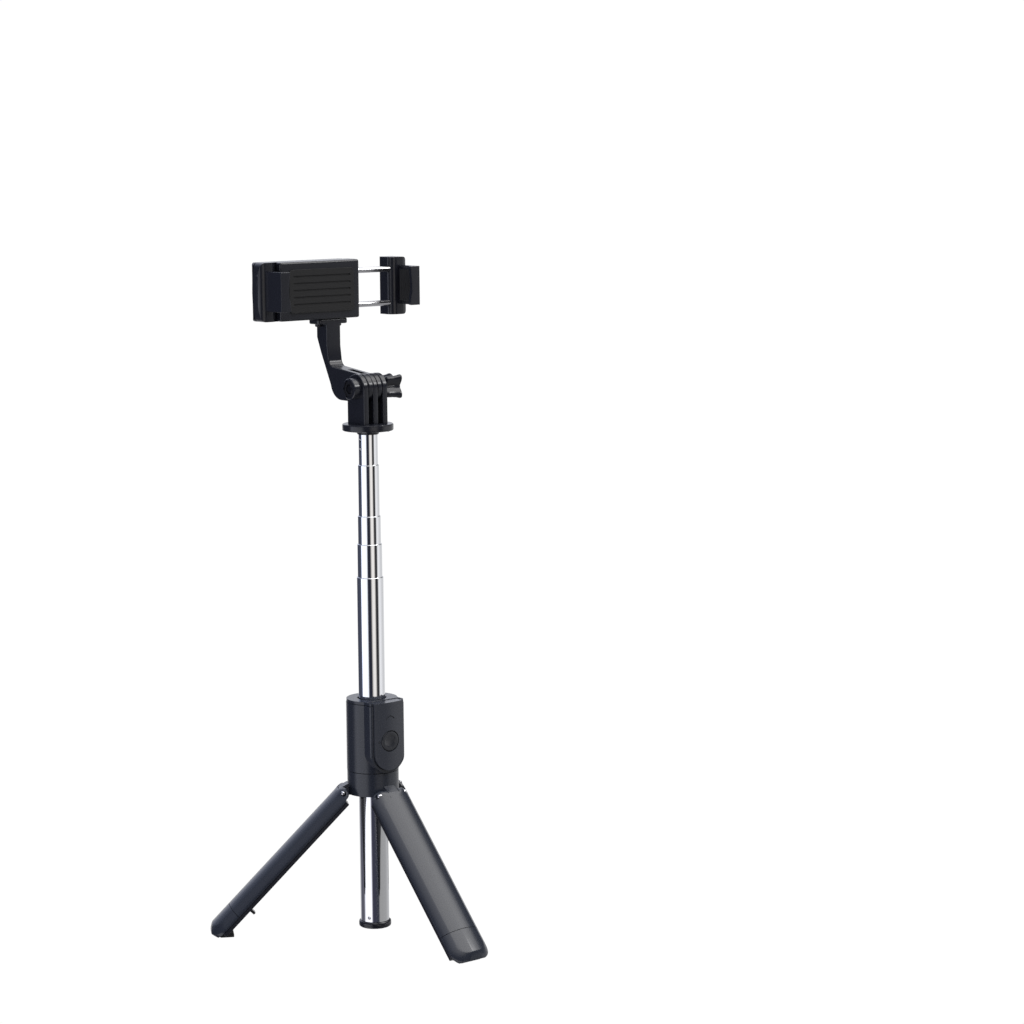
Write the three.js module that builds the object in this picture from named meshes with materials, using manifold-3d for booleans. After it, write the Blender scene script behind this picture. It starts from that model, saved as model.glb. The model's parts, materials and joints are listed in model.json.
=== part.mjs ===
// Selfie stick with a fold-out tripod, a detachable remote and a spring clamp for a phone.
// Millimetres, +Z up the pole, -Y to the front (remote and front leg), thumb knob on +X.
// The origin is the centre of the end plug's bottom face. Legs are open, the pole partly drawn out.

import * as THREE from 'three';
import { mergeVertices } from 'three/addons/utils/BufferGeometryUtils.js';
import Module from 'manifold-3d';

const wasm = await Module();
wasm.setup();

// ---------- driving dimensions ----------

const ROUND = 32;             // segments of the pole and of everything that fits round it
const FINE = 20;              // segments of pins and screws
const FIT = 0.1;              // gap between pieces that are fixed to each other

const POLE = {
  wall: 0.25,
  radii: [7.5, 7, 6.5, 6, 5.5, 5],
  tops: [121.4, 187.3, 204.7, 219.4, 246.1, 263.8],
  bottom: 3.5,                // lower end of the outer tube
  innerLength: 112,           // length of each of the five sliding tubes
  bushLength: 8,
  bushGap: 0.05,
};
const PLUG = { rimRadius: 8.5, rimHeight: 3.4, spigotTop: 10.5, pinRadius: 0.75, pinZ: 5.8, pinTurn: -60 };

const BODY = {
  radius: 13.6, bore: 8.4, bottom: 85.2, top: 121.4,
  boxHalf: 11, boxFront: -14.1, boxCorner: 1.6,
  capBottom: 121.6, capTop: 123.2, capBore: 7.15,
};
const SLEEVE = { outer: 8.3, inner: 7.6, bottom: 74, top: 121.2 };
const HUB = { radius: 13.5, bottom: 72.6, top: 84.9 };

const REMOTE = {
  half: 9.3, top: 122.9, arcZ: 96.2, front: -16, back: -9.6, split: -12.3,
  crownRadius: 44, wall: 1, clearance: 0.25,
  buttonZ: 102.4, buttonRadius: 5.25, holeRadius: 5.65, flangeRadius: 6.3,
  ledX: -6.7, ledRadius: 0.5,
};

const LEG = {
  pinRadial: 16.6, pinZ: 74.2, openAngle: 44, turns: [0, -120, 120], names: ['front', 'left', 'right'],
  halfWidth: 11.8, crestHalf: 8.4, edgeY: 2.7, outerRadius: 19.2, knuckle: 2.8, pinRadius: 1.25, pinHalf: 10.3,
  tongueHalf: 3.2, noseRadius: 2.1, slotHalf: 3.5, slotDepth: 3.5, slotFront: -2.3,
  shoulder: 1.7,              // how far below the pin the leg's inner part starts
  wall: 1.4, shellInner: 3.6, linerOuter: 3.8, linerInner: 5.8, linerHalf: 11.6,
  seam: 84, tip: 101.3, heel: 99, tabStart: 78.2, tabEnd: 79.6, tabReach: 10.8,
  padStart: 5.2, padReach: 10.2, padSole: 99.4, padHeight: 2.8,
  nubStart: 63.2, nubEnd: 64.6,
};

const HEAD = {
  discBottom: 264, discTop: 267.6, discRadius: 13.3, stemRadius: 4.65, stemBottom: 247,
  collarBottom: 262, collarRadius: 6.1, axisZ: 286, prongRadius: 7.5,
  outerProng: [4.55, 7.5], midProng: 1.45, finger: [1.6, 4.4],
  holeRadius: 2.6, screwRadius: 2.4, bossRadius: 5.5, bossEnd: -11.9,
  nutFlats: 8, nutThickness: 3.1, pinZs: [259.4, 254.4], pinRadius: 0.7,
};
const KNOB = { start: 7.8, neckEnd: 9, end: 18, lobeOffset: 4.35, lobeRadius: 2.0, waist: 4.3 };

const CLAMP = {
  bottom: 320.3, top: 350.8, blockFront: 31, rest: 27.6, split: 38, back: 41,
  leftEnd: -44.6, blockInner: -33, housingEnd: 16, corner: 4,
  armOuter: -41.2, armWall: 3.1, armBottom: 325.9, armTop: 346.4, armFront: 16.5,
  lipWidth: 6.1, lipThickness: 2.1, padThickness: 1.2,
  slideOffset: 6.1,             // how much further out the sliding arm stands than the fixed arm
  rodZs: [326.5, 344.5], rodY: 34, rodRadius: 1.5, rodStart: -7.6, yokeWidth: 2,
  springStart: -3, springEnd: 14.2, springRadius: 2.35, springWire: 0.35, springTurns: 7,
};

// ---------- small tools ----------

const UP = { x: 0, y: 1, z: 2 };

function facingOut(geometry) {
  const p = geometry.attributes.position;
  const index = geometry.index.array;
  const a = new THREE.Vector3();
  const b = new THREE.Vector3();
  const c = new THREE.Vector3();
  let volume = 0;
  for (let i = 0; i < index.length; i += 3) {
    a.fromBufferAttribute(p, index[i]);
    b.fromBufferAttribute(p, index[i + 1]);
    c.fromBufferAttribute(p, index[i + 2]);
    volume += a.dot(b.cross(c));
  }
  if (volume < 0) {
    for (let i = 0; i < index.length; i += 3) {
      [index[i], index[i + 1]] = [index[i + 1], index[i]];
    }
  }
  return geometry;
}

// Merges shared vertices and drops the empty triangles that a turned shape has on its axis.
function closed(source) {
  const bare = source.index ? source.toNonIndexed() : source.clone();
  bare.deleteAttribute('normal');
  bare.deleteAttribute('uv');
  const merged = mergeVertices(bare, 1e-4);
  const corners = merged.index.array;
  const kept = [];
  for (let i = 0; i < corners.length; i += 3) {
    const [a, b, c] = [corners[i], corners[i + 1], corners[i + 2]];
    if (a !== b && b !== c && c !== a) kept.push(a, b, c);
  }
  merged.setIndex(kept);
  return facingOut(merged);
}

function toSolid(geometry) {
  const ready = closed(geometry);
  return new wasm.Manifold(new wasm.Mesh({
    numProp: 3,
    vertProperties: new Float32Array(ready.attributes.position.array),
    triVerts: new Uint32Array(ready.index.array),
  }));
}

function fromSolid(solid) {
  const mesh = solid.getMesh();
  const geometry = new THREE.BufferGeometry();
  geometry.setAttribute('position', new THREE.BufferAttribute(new Float32Array(mesh.vertProperties), 3));
  geometry.setIndex(Array.from(mesh.triVerts));
  return geometry;
}

const join = (...parts) => fromSolid(parts.map(toSolid).reduce((sum, next) => sum.add(next)));
const cut = (base, ...tools) => fromSolid(tools.map(toSolid).reduce((rest, tool) => rest.subtract(tool), toSolid(base)));
const common = (a, b) => fromSolid(toSolid(a).intersect(toSolid(b)));

function box(x0, x1, y0, y1, z0, z1) {
  const shape = new THREE.BoxGeometry(x1 - x0, y1 - y0, z1 - z0);
  return shape.translate((x0 + x1) / 2, (y0 + y1) / 2, (z0 + z1) / 2);
}

// A solid turned round the Z axis from [radius, z] points; a ring's points close on themselves.
function turned(points, segments = ROUND) {
  const profile = points.map(([r, z]) => new THREE.Vector2(r, z));
  return new THREE.LatheGeometry(profile, segments).rotateX(Math.PI / 2);
}

function ring(outer, inner, z0, z1, segments = ROUND) {
  return turned([[inner, z0], [outer, z0], [outer, z1], [inner, z1], [inner, z0]], segments);
}

// A round bar along 'x', 'y' or 'z' from one coordinate to another.
function bar(radius, axis, from, to, centre, segments = FINE) {
  const shape = new THREE.CylinderGeometry(radius, radius, to - from, segments);
  if (axis === 'z') shape.rotateX(Math.PI / 2);
  if (axis === 'x') shape.rotateZ(Math.PI / 2);
  const place = [centre[0], centre[1], centre[2]];
  place[UP[axis]] = (from + to) / 2;
  return shape.translate(...place);
}

// An outline drawn in a plane and given thickness along the plane's normal.
const BASES = {
  XY: [[1, 0, 0], [0, 1, 0], [0, 0, 1]],
  YZ: [[0, 1, 0], [0, 0, 1], [1, 0, 0]],
  XZ: [[1, 0, 0], [0, 0, 1], [0, -1, 0]],
};

function slab(shape, plane, low, high, curveSegments = 6) {
  const depth = high - low;
  const geometry = new THREE.ExtrudeGeometry(shape, { depth, bevelEnabled: false, curveSegments });
  const [u, v, w] = BASES[plane].map((axis) => new THREE.Vector3(...axis));
  geometry.applyMatrix4(new THREE.Matrix4().makeBasis(u, v, w));
  const start = plane === 'XZ' ? [0, high, 0] : [plane === 'YZ' ? low : 0, 0, plane === 'XY' ? low : 0];
  return geometry.translate(...start);
}

function roundedRect(x0, y0, x1, y1, r) {
  const shape = new THREE.Shape();
  shape.moveTo(x0 + r, y0);
  shape.lineTo(x1 - r, y0);
  shape.absarc(x1 - r, y0 + r, r, -Math.PI / 2, 0);
  shape.lineTo(x1, y1 - r);
  shape.absarc(x1 - r, y1 - r, r, 0, Math.PI / 2);
  shape.lineTo(x0 + r, y1);
  shape.absarc(x0 + r, y1 - r, r, Math.PI / 2, Math.PI);
  shape.lineTo(x0, y0 + r);
  shape.absarc(x0 + r, y0 + r, r, Math.PI, 1.5 * Math.PI);
  return shape;
}

// ---------- materials and the group ----------

const finish = (color, roughness, metalness = 0) => () => new THREE.MeshStandardMaterial({ color, roughness, metalness });
const chromed = finish(0xc9ccd0, 0.12, 1);
const steel = finish(0x9a9ca0, 0.35, 1);
const darkSteel = finish(0x2a2b2e, 0.4, 1);
const satinBlack = finish(0x26282d, 0.42);
const matteBlack = finish(0x17181b, 0.6);
const rubber = finish(0x101113, 0.85);
const white = finish(0xe6e8ea, 0.5);
const boardGreen = finish(0x1d5a35, 0.5);
const smoke = finish(0x0c1422, 0.2);

const group = new THREE.Group();

function add(name, geometry, material, parent = group) {
  const mesh = new THREE.Mesh(closed(geometry), material());
  mesh.name = name;
  parent.add(mesh);
  return mesh;
}

// ---------- the pole ----------

const tubeBottom = (k) => (k === 0 ? POLE.bottom : POLE.tops[k] - POLE.innerLength);

function pinHole(radius, z, turn) {
  return bar(radius, 'y', -12, -2, [0, 0, z]).rotateZ(THREE.MathUtils.degToRad(turn));
}

function addPole() {
  POLE.radii.forEach((radius, k) => {
    let tube = ring(radius, radius - POLE.wall, tubeBottom(k), POLE.tops[k]);
    if (k === 0) tube = cut(tube, pinHole(PLUG.pinRadius + FIT, PLUG.pinZ, PLUG.pinTurn));
    if (k === POLE.radii.length - 1) {
      HEAD.pinZs.forEach((z) => { tube = cut(tube, pinHole(HEAD.pinRadius + FIT, z, -90)); });
    }
    add(`tube_${k + 1}`, tube, chromed);
  });
  for (let k = 1; k < POLE.radii.length; k += 1) {
    const outer = POLE.radii[k - 1] - POLE.wall - POLE.bushGap;
    const inner = POLE.radii[k] + POLE.bushGap;
    add(`slide_bush_${k + 1}`, ring(outer, inner, tubeBottom(k), tubeBottom(k) + POLE.bushLength), white);
  }
}

function addEndPlug() {
  const spigot = POLE.radii[0] - POLE.wall - FIT;
  const profile = [[0, 0], [PLUG.rimRadius - 1, 0], [PLUG.rimRadius, 1], [PLUG.rimRadius, PLUG.rimHeight - 0.8],
    [PLUG.rimRadius - 0.8, PLUG.rimHeight], [spigot, PLUG.rimHeight], [spigot, PLUG.spigotTop],
    [spigot - 1.6, PLUG.spigotTop], [spigot - 1.6, PLUG.rimHeight + 5], [0, PLUG.rimHeight + 5]];
  add('end_plug', cut(turned(profile), pinHole(PLUG.pinRadius + FIT, PLUG.pinZ, PLUG.pinTurn)), matteBlack);
  const pin = bar(PLUG.pinRadius, 'y', -(POLE.radii[0] + 0.15), -3, [0, 0, PLUG.pinZ]);
  add('end_plug_pin', pin.rotateZ(THREE.MathUtils.degToRad(PLUG.pinTurn)), steel);
}

// ---------- the grip body and its remote control ----------

// The U-shaped outline of the remote, drawn in X and Z, inset by a margin.
function remoteOutline(margin, top) {
  const half = REMOTE.half - margin;
  const shape = new THREE.Shape();
  shape.moveTo(half, top);
  shape.lineTo(-half, top);
  shape.lineTo(-half, REMOTE.arcZ);
  shape.absarc(0, REMOTE.arcZ, half, Math.PI, 2 * Math.PI);
  return shape;
}

const dock = () => slab(remoteOutline(-REMOTE.clearance, 200), 'XZ', -30, REMOTE.back + 0.1, 10);

function bodyBlank(z0, z1, trim = 0) {
  const round = bar(BODY.radius - trim, 'z', z0, z1, [0, 0, 0], ROUND);
  const half = BODY.boxHalf - trim;
  const front = slab(roundedRect(-half, BODY.boxFront + trim, half, 0, BODY.boxCorner), 'XY', z0, z1, 4);
  return join(round, front);
}

// The front box of the body ends below in a half round, like the remote that it holds.
function underDockTrim() {
  const outside = box(-30, 30, -30, -7.7, BODY.bottom - 1, REMOTE.arcZ);
  return cut(outside, bar(BODY.boxHalf, 'y', -31, 0, [0, 0, REMOTE.arcZ], ROUND),
    bar(BODY.radius, 'z', BODY.bottom - 2, REMOTE.arcZ + 1, [0, 0, 0], ROUND));
}

function addBody() {
  const core = common(ring(12.2, 9.6, BODY.bottom - 1, BODY.top - 2.4), box(-20, 20, -1.5, 20, 0, 200));
  let shell = cut(bodyBlank(BODY.bottom, BODY.top), bar(BODY.bore, 'z', 0, 200, [0, 0, 0], ROUND));
  shell = cut(shell, dock(), underDockTrim(), core);
  const ribs = [-1, 1].map((side) => {
    const edge = REMOTE.half + REMOTE.clearance + 0.3;
    const reach = REMOTE.half - 0.4;
    return box(Math.min(side * edge, side * reach), Math.max(side * edge, side * reach), -11.45, -10.75, 98.5, 119);
  });
  add('body_shell', join(shell, ...ribs), satinBlack);
  const cap = cut(bodyBlank(BODY.capBottom, BODY.capTop, 0.2), bar(BODY.capBore, 'z', 0, 200, [0, 0, 0], ROUND), dock());
  add('body_top_cap', cap, satinBlack);
  add('tube_sleeve', ring(SLEEVE.outer, SLEEVE.inner, SLEEVE.bottom, SLEEVE.top), white);
}

function sideGroove(side) {
  const outer = side * (REMOTE.half + 1);
  const inner = side * (REMOTE.half - 0.7);
  return box(Math.min(outer, inner), Math.max(outer, inner), -11.7, -10.5, 80, 121.5);
}

function addRemote() {
  const { front, back, split, wall, buttonZ } = REMOTE;
  const crown = bar(REMOTE.crownRadius, 'z', 80, 130, [0, front + REMOTE.crownRadius, 0], 160);
  const blank = common(slab(remoteOutline(0, REMOTE.top), 'XZ', front - 0.2, split - FIT, 10), crown);
  const hollow = slab(remoteOutline(wall, REMOTE.top - wall), 'XZ', front + 1.4, split + 1, 10);
  const holes = [bar(REMOTE.holeRadius, 'y', -20, -14, [0, 0, buttonZ], 28),
    bar(REMOTE.ledRadius + FIT, 'y', -20, -14, [REMOTE.ledX, 0, buttonZ])];
  add('remote_front_shell', cut(blank, hollow, ...holes), satinBlack);

  const rear = slab(remoteOutline(0, REMOTE.top), 'XZ', split, back, 10);
  const rearHollow = slab(remoteOutline(wall, REMOTE.top - wall), 'XZ', split - 1, back - 0.9, 10);
  add('remote_rear_shell', cut(rear, rearHollow, sideGroove(-1), sideGroove(1)), satinBlack);

  const cap = bar(REMOTE.buttonRadius, 'y', front + 0.15, front + 1.9, [0, 0, buttonZ], 28);
  const flange = bar(REMOTE.flangeRadius, 'y', front + 1.65, front + 2.05, [0, 0, buttonZ], 28);
  const dish = bar(3.3, 'y', front - 1, front + 0.4, [0, 0, buttonZ], 28);
  add('remote_button', cut(join(cap, flange), dish), matteBlack);
  add('status_led', bar(REMOTE.ledRadius, 'y', -15.35, -14.45, [REMOTE.ledX, 0, buttonZ]), smoke);
  add('circuit_board', slab(remoteOutline(wall + 0.4, 120.6), 'XZ', -13.5, -12.7, 8), boardGreen);
  add('coin_cell', bar(8, 'y', -12.55, -10.6, [0, 0, REMOTE.arcZ + 0.7], 28), steel);
}

// ---------- the tripod ----------

// One hinge tongue of the hub, drawn on the front (-Y) side.
function hubTongue() {
  const { pinRadial: r, pinZ: z } = LEG;
  const nose = LEG.noseRadius;
  const shape = new THREE.Shape();
  shape.moveTo(-10, HUB.bottom + 7);
  shape.lineTo(-(HUB.radius - 0.4), HUB.bottom + 6);
  shape.lineTo(-(r + nose * Math.sin(0.75)), z + nose * Math.cos(0.75));
  shape.absarc(-r, z, nose, Math.PI / 2 + 0.75, 1.5 * Math.PI);
  shape.lineTo(-10, z - nose);
  return slab(shape, 'YZ', -LEG.tongueHalf, LEG.tongueHalf, 8);
}

const spun = (geometry, degrees) => geometry.rotateZ(THREE.MathUtils.degToRad(degrees));

function addHub() {
  const barrel = turned([[0, HUB.bottom + 0.6], [HUB.radius - 0.6, HUB.bottom], [HUB.radius, HUB.bottom + 0.8],
    [HUB.radius, HUB.top - 0.5], [HUB.radius - 0.4, HUB.top], [0, HUB.top]]);
  const tongues = LEG.turns.map((turn) => spun(hubTongue(), turn));
  const pinHoles = LEG.turns.map((turn) => {
    return spun(bar(LEG.pinRadius + FIT, 'x', -12, 12, [0, -LEG.pinRadial, LEG.pinZ]), turn);
  });
  const bore = bar(BODY.bore, 'z', 60, 100, [0, 0, 0], ROUND);
  add('leg_hub', cut(join(barrel, ...tongues), bore, ...pinHoles), satinBlack);
}

// Cross-section of a leg: crowned round the pole's axis outside, sloping shoulders, flat inside.
// The leg's own frame has its pin at the origin, hangs down -Z and faces out along -Y.
// An inset above zero gives the same section with its outside moved in by that much.
function legSection(inner, inset) {
  const axisY = LEG.pinRadial;
  const radius = LEG.outerRadius - inset;
  const half = LEG.halfWidth - inset;
  const crest = LEG.crestHalf - inset / 2;
  const edgeY = LEG.edgeY + inset / 2;
  const side = Math.asin(crest / radius);
  const shape = new THREE.Shape();
  shape.moveTo(-half, inner);
  shape.lineTo(-half, edgeY);
  shape.quadraticCurveTo(-half + 1.2, edgeY - 1.7, -crest, axisY - radius * Math.cos(side));
  shape.absarc(0, axisY, radius, -Math.PI / 2 - side, -Math.PI / 2 + side);
  shape.quadraticCurveTo(half - 1.2, edgeY - 1.7, half, edgeY);
  shape.lineTo(half, inner);
  return shape;
}

// Everything that the leg keeps at its hinge end: a knuckle round the pin and a square shoulder.
function legEndKeep(bottom) {
  const shape = new THREE.Shape();
  const k = LEG.knuckle;
  shape.moveTo(-k - 0.01, bottom);
  shape.lineTo(-k - 0.01, 0);
  shape.absarc(0, 0, k + 0.01, Math.PI, 0, true);
  shape.lineTo(k + 0.01, -LEG.shoulder);
  shape.lineTo(12, -LEG.shoulder);
  shape.lineTo(12, bottom);
  return slab(shape, 'YZ', -20, 20, 10);
}

function legShell() {
  const blank = slab(legSection(LEG.shellInner, 0), 'XY', -LEG.seam, LEG.knuckle + 1, 7);
  const shaped = common(blank, legEndKeep(-LEG.seam - 1));
  const channel = slab(legSection(12, LEG.wall), 'XY', -LEG.seam - 1, -9, 7);
  const slot = box(-LEG.slotHalf, LEG.slotHalf, LEG.slotFront, 12, -LEG.slotDepth, 8);
  const hole = bar(LEG.pinRadius + FIT, 'x', -LEG.pinHalf - 0.3, LEG.pinHalf + 0.3, [0, 0, 0]);
  return cut(shaped, channel, slot, hole);
}

function legLiner() {
  const { linerOuter, linerInner, linerHalf, slotHalf, shoulder } = LEG;
  const length = LEG.padSole - LEG.padHeight - 0.2;
  const plate = box(-linerHalf, linerHalf, linerOuter, linerInner, -length, -shoulder - 0.3);
  const spine = box(-6.6, 6.6, 3.0, linerOuter + 0.5, -LEG.seam + 2, -12);
  const tab = box(-2, 2, linerInner - 0.5, LEG.tabReach, -LEG.tabEnd, -LEG.tabStart);
  const nub = box(-3, 3, linerInner - 0.5, linerInner + 0.9, -LEG.nubEnd, -LEG.nubStart);
  const slot = box(-slotHalf, slotHalf, -8, 12, -LEG.slotDepth, 8);
  return cut(join(plate, spine, tab, nub), slot);
}

function footOutline() {
  return roundedRect(-LEG.halfWidth, -LEG.tip, LEG.halfWidth, -LEG.seam + 20, 6.5);
}

function footCap() {
  const blank = slab(legSection(LEG.shellInner, 0), 'XY', -LEG.tip, -LEG.seam - 0.25, 7);
  const rounded = common(blank, slab(footOutline(), 'XZ', -8, 12, 6));
  const toe = new THREE.Shape();
  const heelSlope = (LEG.tip - LEG.heel) / (LEG.linerInner - 0.2);
  toe.moveTo(-3, -LEG.tip - 1);
  toe.lineTo(8, -LEG.tip - 1);
  toe.lineTo(8, -LEG.tip + 7.8 * heelSlope);
  toe.lineTo(0.2, -LEG.tip);
  toe.lineTo(-1.8, -LEG.tip + 1.4);
  toe.lineTo(-3, -LEG.tip + 4);
  const socket = slab(legSection(12, 2), 'XY', -LEG.seam - 11, -LEG.seam + 1, 7);
  return cut(rounded, slab(toe, 'YZ', -20, 20), socket);
}

// The pad's sole is level with the floor when the leg is open.
function footPad() {
  const { linerOuter, linerInner, padStart, padReach, padSole, padHeight } = LEG;
  const shape = new THREE.Shape();
  const soleRise = (padReach - padStart) * Math.tan(THREE.MathUtils.degToRad(LEG.openAngle));
  shape.moveTo(linerOuter, -padSole - 0.2);
  shape.lineTo(padStart, -padSole);
  shape.lineTo(padReach, -padSole + soleRise);
  shape.lineTo(padReach - 1.1, -padSole + soleRise + 1.2);
  shape.lineTo(linerInner + 0.1, -padSole + padHeight);
  shape.lineTo(linerOuter, -padSole + padHeight);
  return slab(shape, 'YZ', -6, 6);
}

function addLegs() {
  addHub();
  LEG.turns.forEach((turn, k) => {
    const swing = new THREE.Group();
    swing.rotation.z = THREE.MathUtils.degToRad(turn);
    const leg = new THREE.Group();
    leg.position.set(0, -LEG.pinRadial, LEG.pinZ);
    leg.rotation.x = -THREE.MathUtils.degToRad(LEG.openAngle);
    swing.add(leg);
    group.add(swing);
    const name = LEG.names[k];
    add(`${name}_leg_shell`, legShell(), satinBlack, leg);
    add(`${name}_leg_liner`, legLiner(), matteBlack, leg);
    add(`${name}_foot_cap`, footCap(), satinBlack, leg);
    add(`${name}_foot_pad`, footPad(), rubber, leg);
    add(`${name}_leg_pin`, bar(LEG.pinRadius, 'x', -LEG.pinHalf, LEG.pinHalf, [0, 0, 0]), steel, leg);
  });
}

// ---------- the tilting head ----------

function prong(x0, x1, bottom) {
  const { prongRadius: r, axisZ } = HEAD;
  const shape = new THREE.Shape();
  shape.moveTo(r, bottom);
  shape.lineTo(r, axisZ);
  shape.absarc(0, axisZ, r, 0, Math.PI);
  shape.lineTo(-r, bottom);
  return slab(shape, 'YZ', x0, x1, 14);
}

function hexagon(flats) {
  const shape = new THREE.Shape();
  for (let k = 0; k < 6; k += 1) {
    const angle = (k * Math.PI) / 3;
    const reach = flats / 2 / Math.cos(Math.PI / 6);
    shape[k ? 'lineTo' : 'moveTo'](reach * Math.cos(angle), HEAD.axisZ + reach * Math.sin(angle));
  }
  return shape;
}

function addHead() {
  const { discBottom, discTop, discRadius, stemRadius, axisZ } = HEAD;
  const tubeGap = POLE.radii[5] + FIT;
  const turnedBase = turned([[0, HEAD.stemBottom], [stemRadius, HEAD.stemBottom], [stemRadius, discBottom + 0.1],
    [tubeGap, discBottom + 0.1], [tubeGap, HEAD.collarBottom], [tubeGap + 0.3, HEAD.collarBottom],
    [HEAD.collarRadius, discBottom], [discRadius - 0.4, discBottom], [discRadius, discBottom + 0.4],
    [discRadius, discTop - 0.4], [discRadius - 0.4, discTop], [0, discTop]]);
  const [outerIn, outerOut] = HEAD.outerProng;
  const prongs = [[-outerOut, -outerIn], [-HEAD.midProng, HEAD.midProng], [outerIn, outerOut]];
  const blocks = prongs.map(([x0, x1]) => prong(x0, x1, discTop - 1));
  const boss = bar(HEAD.bossRadius, 'x', HEAD.bossEnd, -outerOut + 0.5, [0, 0, axisZ], 24);
  const peg = bar(0.9, 'z', discBottom - 1.2, discBottom + 1, [10.2, -3.5, 0], 12);
  const screwHole = bar(HEAD.holeRadius, 'x', -20, 20, [0, 0, axisZ]);
  const nutPocket = slab(hexagon(HEAD.nutFlats + 0.2), 'YZ', HEAD.bossEnd - 1, HEAD.bossEnd + 3.7);
  const pinHoles = HEAD.pinZs.map((z) => pinHole(HEAD.pinRadius + FIT, z, -90));
  add('head_base', cut(join(turnedBase, ...blocks, boss, peg), screwHole, nutPocket, ...pinHoles), matteBlack);
  HEAD.pinZs.forEach((z, k) => {
    add(`head_pin_${k + 1}`, spun(bar(HEAD.pinRadius, 'y', -(POLE.radii[5] + 0.1), -2.5, [0, 0, z], 12), -90), steel);
  });
  const nutStart = HEAD.bossEnd + 0.4;
  const nut = slab(hexagon(HEAD.nutFlats), 'YZ', nutStart, nutStart + HEAD.nutThickness);
  add('hex_nut', cut(nut, bar(HEAD.screwRadius + FIT, 'x', -20, 0, [0, 0, axisZ])), darkSteel);
}

// Section of the thumb knob in Y and Z: four round lobes with hollow sides between them.
function knobSection() {
  const shape = new THREE.Shape();
  const steps = 36;
  for (let k = 0; k < steps; k += 1) {
    const angle = (k * 2 * Math.PI) / steps;
    const swell = Math.pow((1 - Math.cos(4 * angle)) / 2, 1.3);
    const reach = KNOB.waist + (KNOB.lobeOffset * Math.SQRT2 + KNOB.lobeRadius - KNOB.waist) * swell;
    shape[k ? 'lineTo' : 'moveTo'](reach * Math.cos(angle), HEAD.axisZ + reach * Math.sin(angle));
  }
  return shape;
}

function addKnob() {
  const { axisZ } = HEAD;
  const screwEnd = KNOB.end - 4;
  const neck = bar(4.2, 'x', KNOB.start, KNOB.neckEnd + 0.5, [0, 0, axisZ], 24);
  const grip = slab(knobSection(), 'YZ', KNOB.neckEnd, KNOB.end);
  const bore = bar(HEAD.screwRadius + FIT, 'x', 0, screwEnd + 0.2, [0, 0, axisZ]);
  add('thumb_knob', cut(join(neck, grip), bore), matteBlack);
  add('clamp_screw', bar(HEAD.screwRadius, 'x', HEAD.bossEnd + 0.5, screwEnd, [0, 0, axisZ]), steel);
}

// ---------- the phone holder ----------

function holderProfile() {
  const { axisZ, prongRadius: r } = HEAD;
  const shape = new THREE.Shape();
  shape.moveTo(0, axisZ - r);
  shape.lineTo(17.5, axisZ - r);
  shape.absarc(17.5, axisZ - r + 9.5, 9.5, -Math.PI / 2, -0.2);
  shape.lineTo(35, CLAMP.bottom - 18);
  shape.lineTo(38.5, CLAMP.bottom - 10);
  shape.lineTo(38.5, CLAMP.bottom - FIT);
  shape.lineTo(29, CLAMP.bottom - FIT);
  shape.lineTo(29, CLAMP.bottom - 14);
  shape.absarc(24, axisZ + 13.5, 4, 0, -1.4, true);
  shape.lineTo(2, axisZ + r - 0.15);
  shape.absarc(0, axisZ, r, 1.3, 1.5 * Math.PI);
  return shape;
}

const KNUCKLE_SCREWS = [-6.2, 6.2];

function addKnuckle() {
  const { axisZ } = HEAD;
  const [fingerIn, fingerOut] = HEAD.finger;
  const arm = slab(holderProfile(), 'YZ', -fingerOut, fingerOut, 10);
  const flange = box(-9.5, 9.5, 29, 39, CLAMP.bottom - 2.8, CLAMP.bottom - FIT);
  const fingerGap = box(-fingerIn, fingerIn, -20, 15, axisZ - 20, axisZ + 20);
  const hole = bar(HEAD.holeRadius, 'x', -20, 20, [0, 0, axisZ]);
  const screwHoles = KNUCKLE_SCREWS.map((x) => bar(1.2, 'z', 300, 330, [x, 34, 0], 12));
  add('holder_arm', cut(join(arm, flange), fingerGap, hole, ...screwHoles), matteBlack);
  KNUCKLE_SCREWS.forEach((x, k) => {
    const head = bar(1.8, 'z', CLAMP.bottom - 4.4, CLAMP.bottom - 2.9, [x, 34, 0], 12);
    const shank = bar(1.0, 'z', CLAMP.bottom - 3.2, CLAMP.bottom + 2.4, [x, 34, 0], 12);
    add(`holder_screw_${k + 1}`, join(head, shank), darkSteel);
  });
}

// A tall block seen from above, with both of its outer corners rounded, and its arm and front lip.
function jaw() {
  const c = CLAMP;
  const block = common(
    slab(roundedRect(c.leftEnd, c.blockFront, c.blockInner, c.back + 8, c.corner), 'XY', c.bottom, c.top),
    slab(roundedRect(c.leftEnd - 1, c.bottom, c.blockInner + 4, c.top, 3.4), 'XZ', 0, 60));
  const arm = box(c.armOuter, c.armOuter + c.armWall, c.armFront, c.blockFront + 1, c.armBottom, c.armTop);
  const lip = box(c.armOuter, c.armOuter + c.lipWidth, c.armFront, c.armFront + c.lipThickness,
    c.armBottom, c.armTop);
  return join(block, arm, lip);
}

const COVER_SCREWS = [[-38, 335.5], [11.6, 335.5]];

function mirrored(geometry) {
  return closed(geometry.clone().scale(-1, 1, 1));
}

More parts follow.
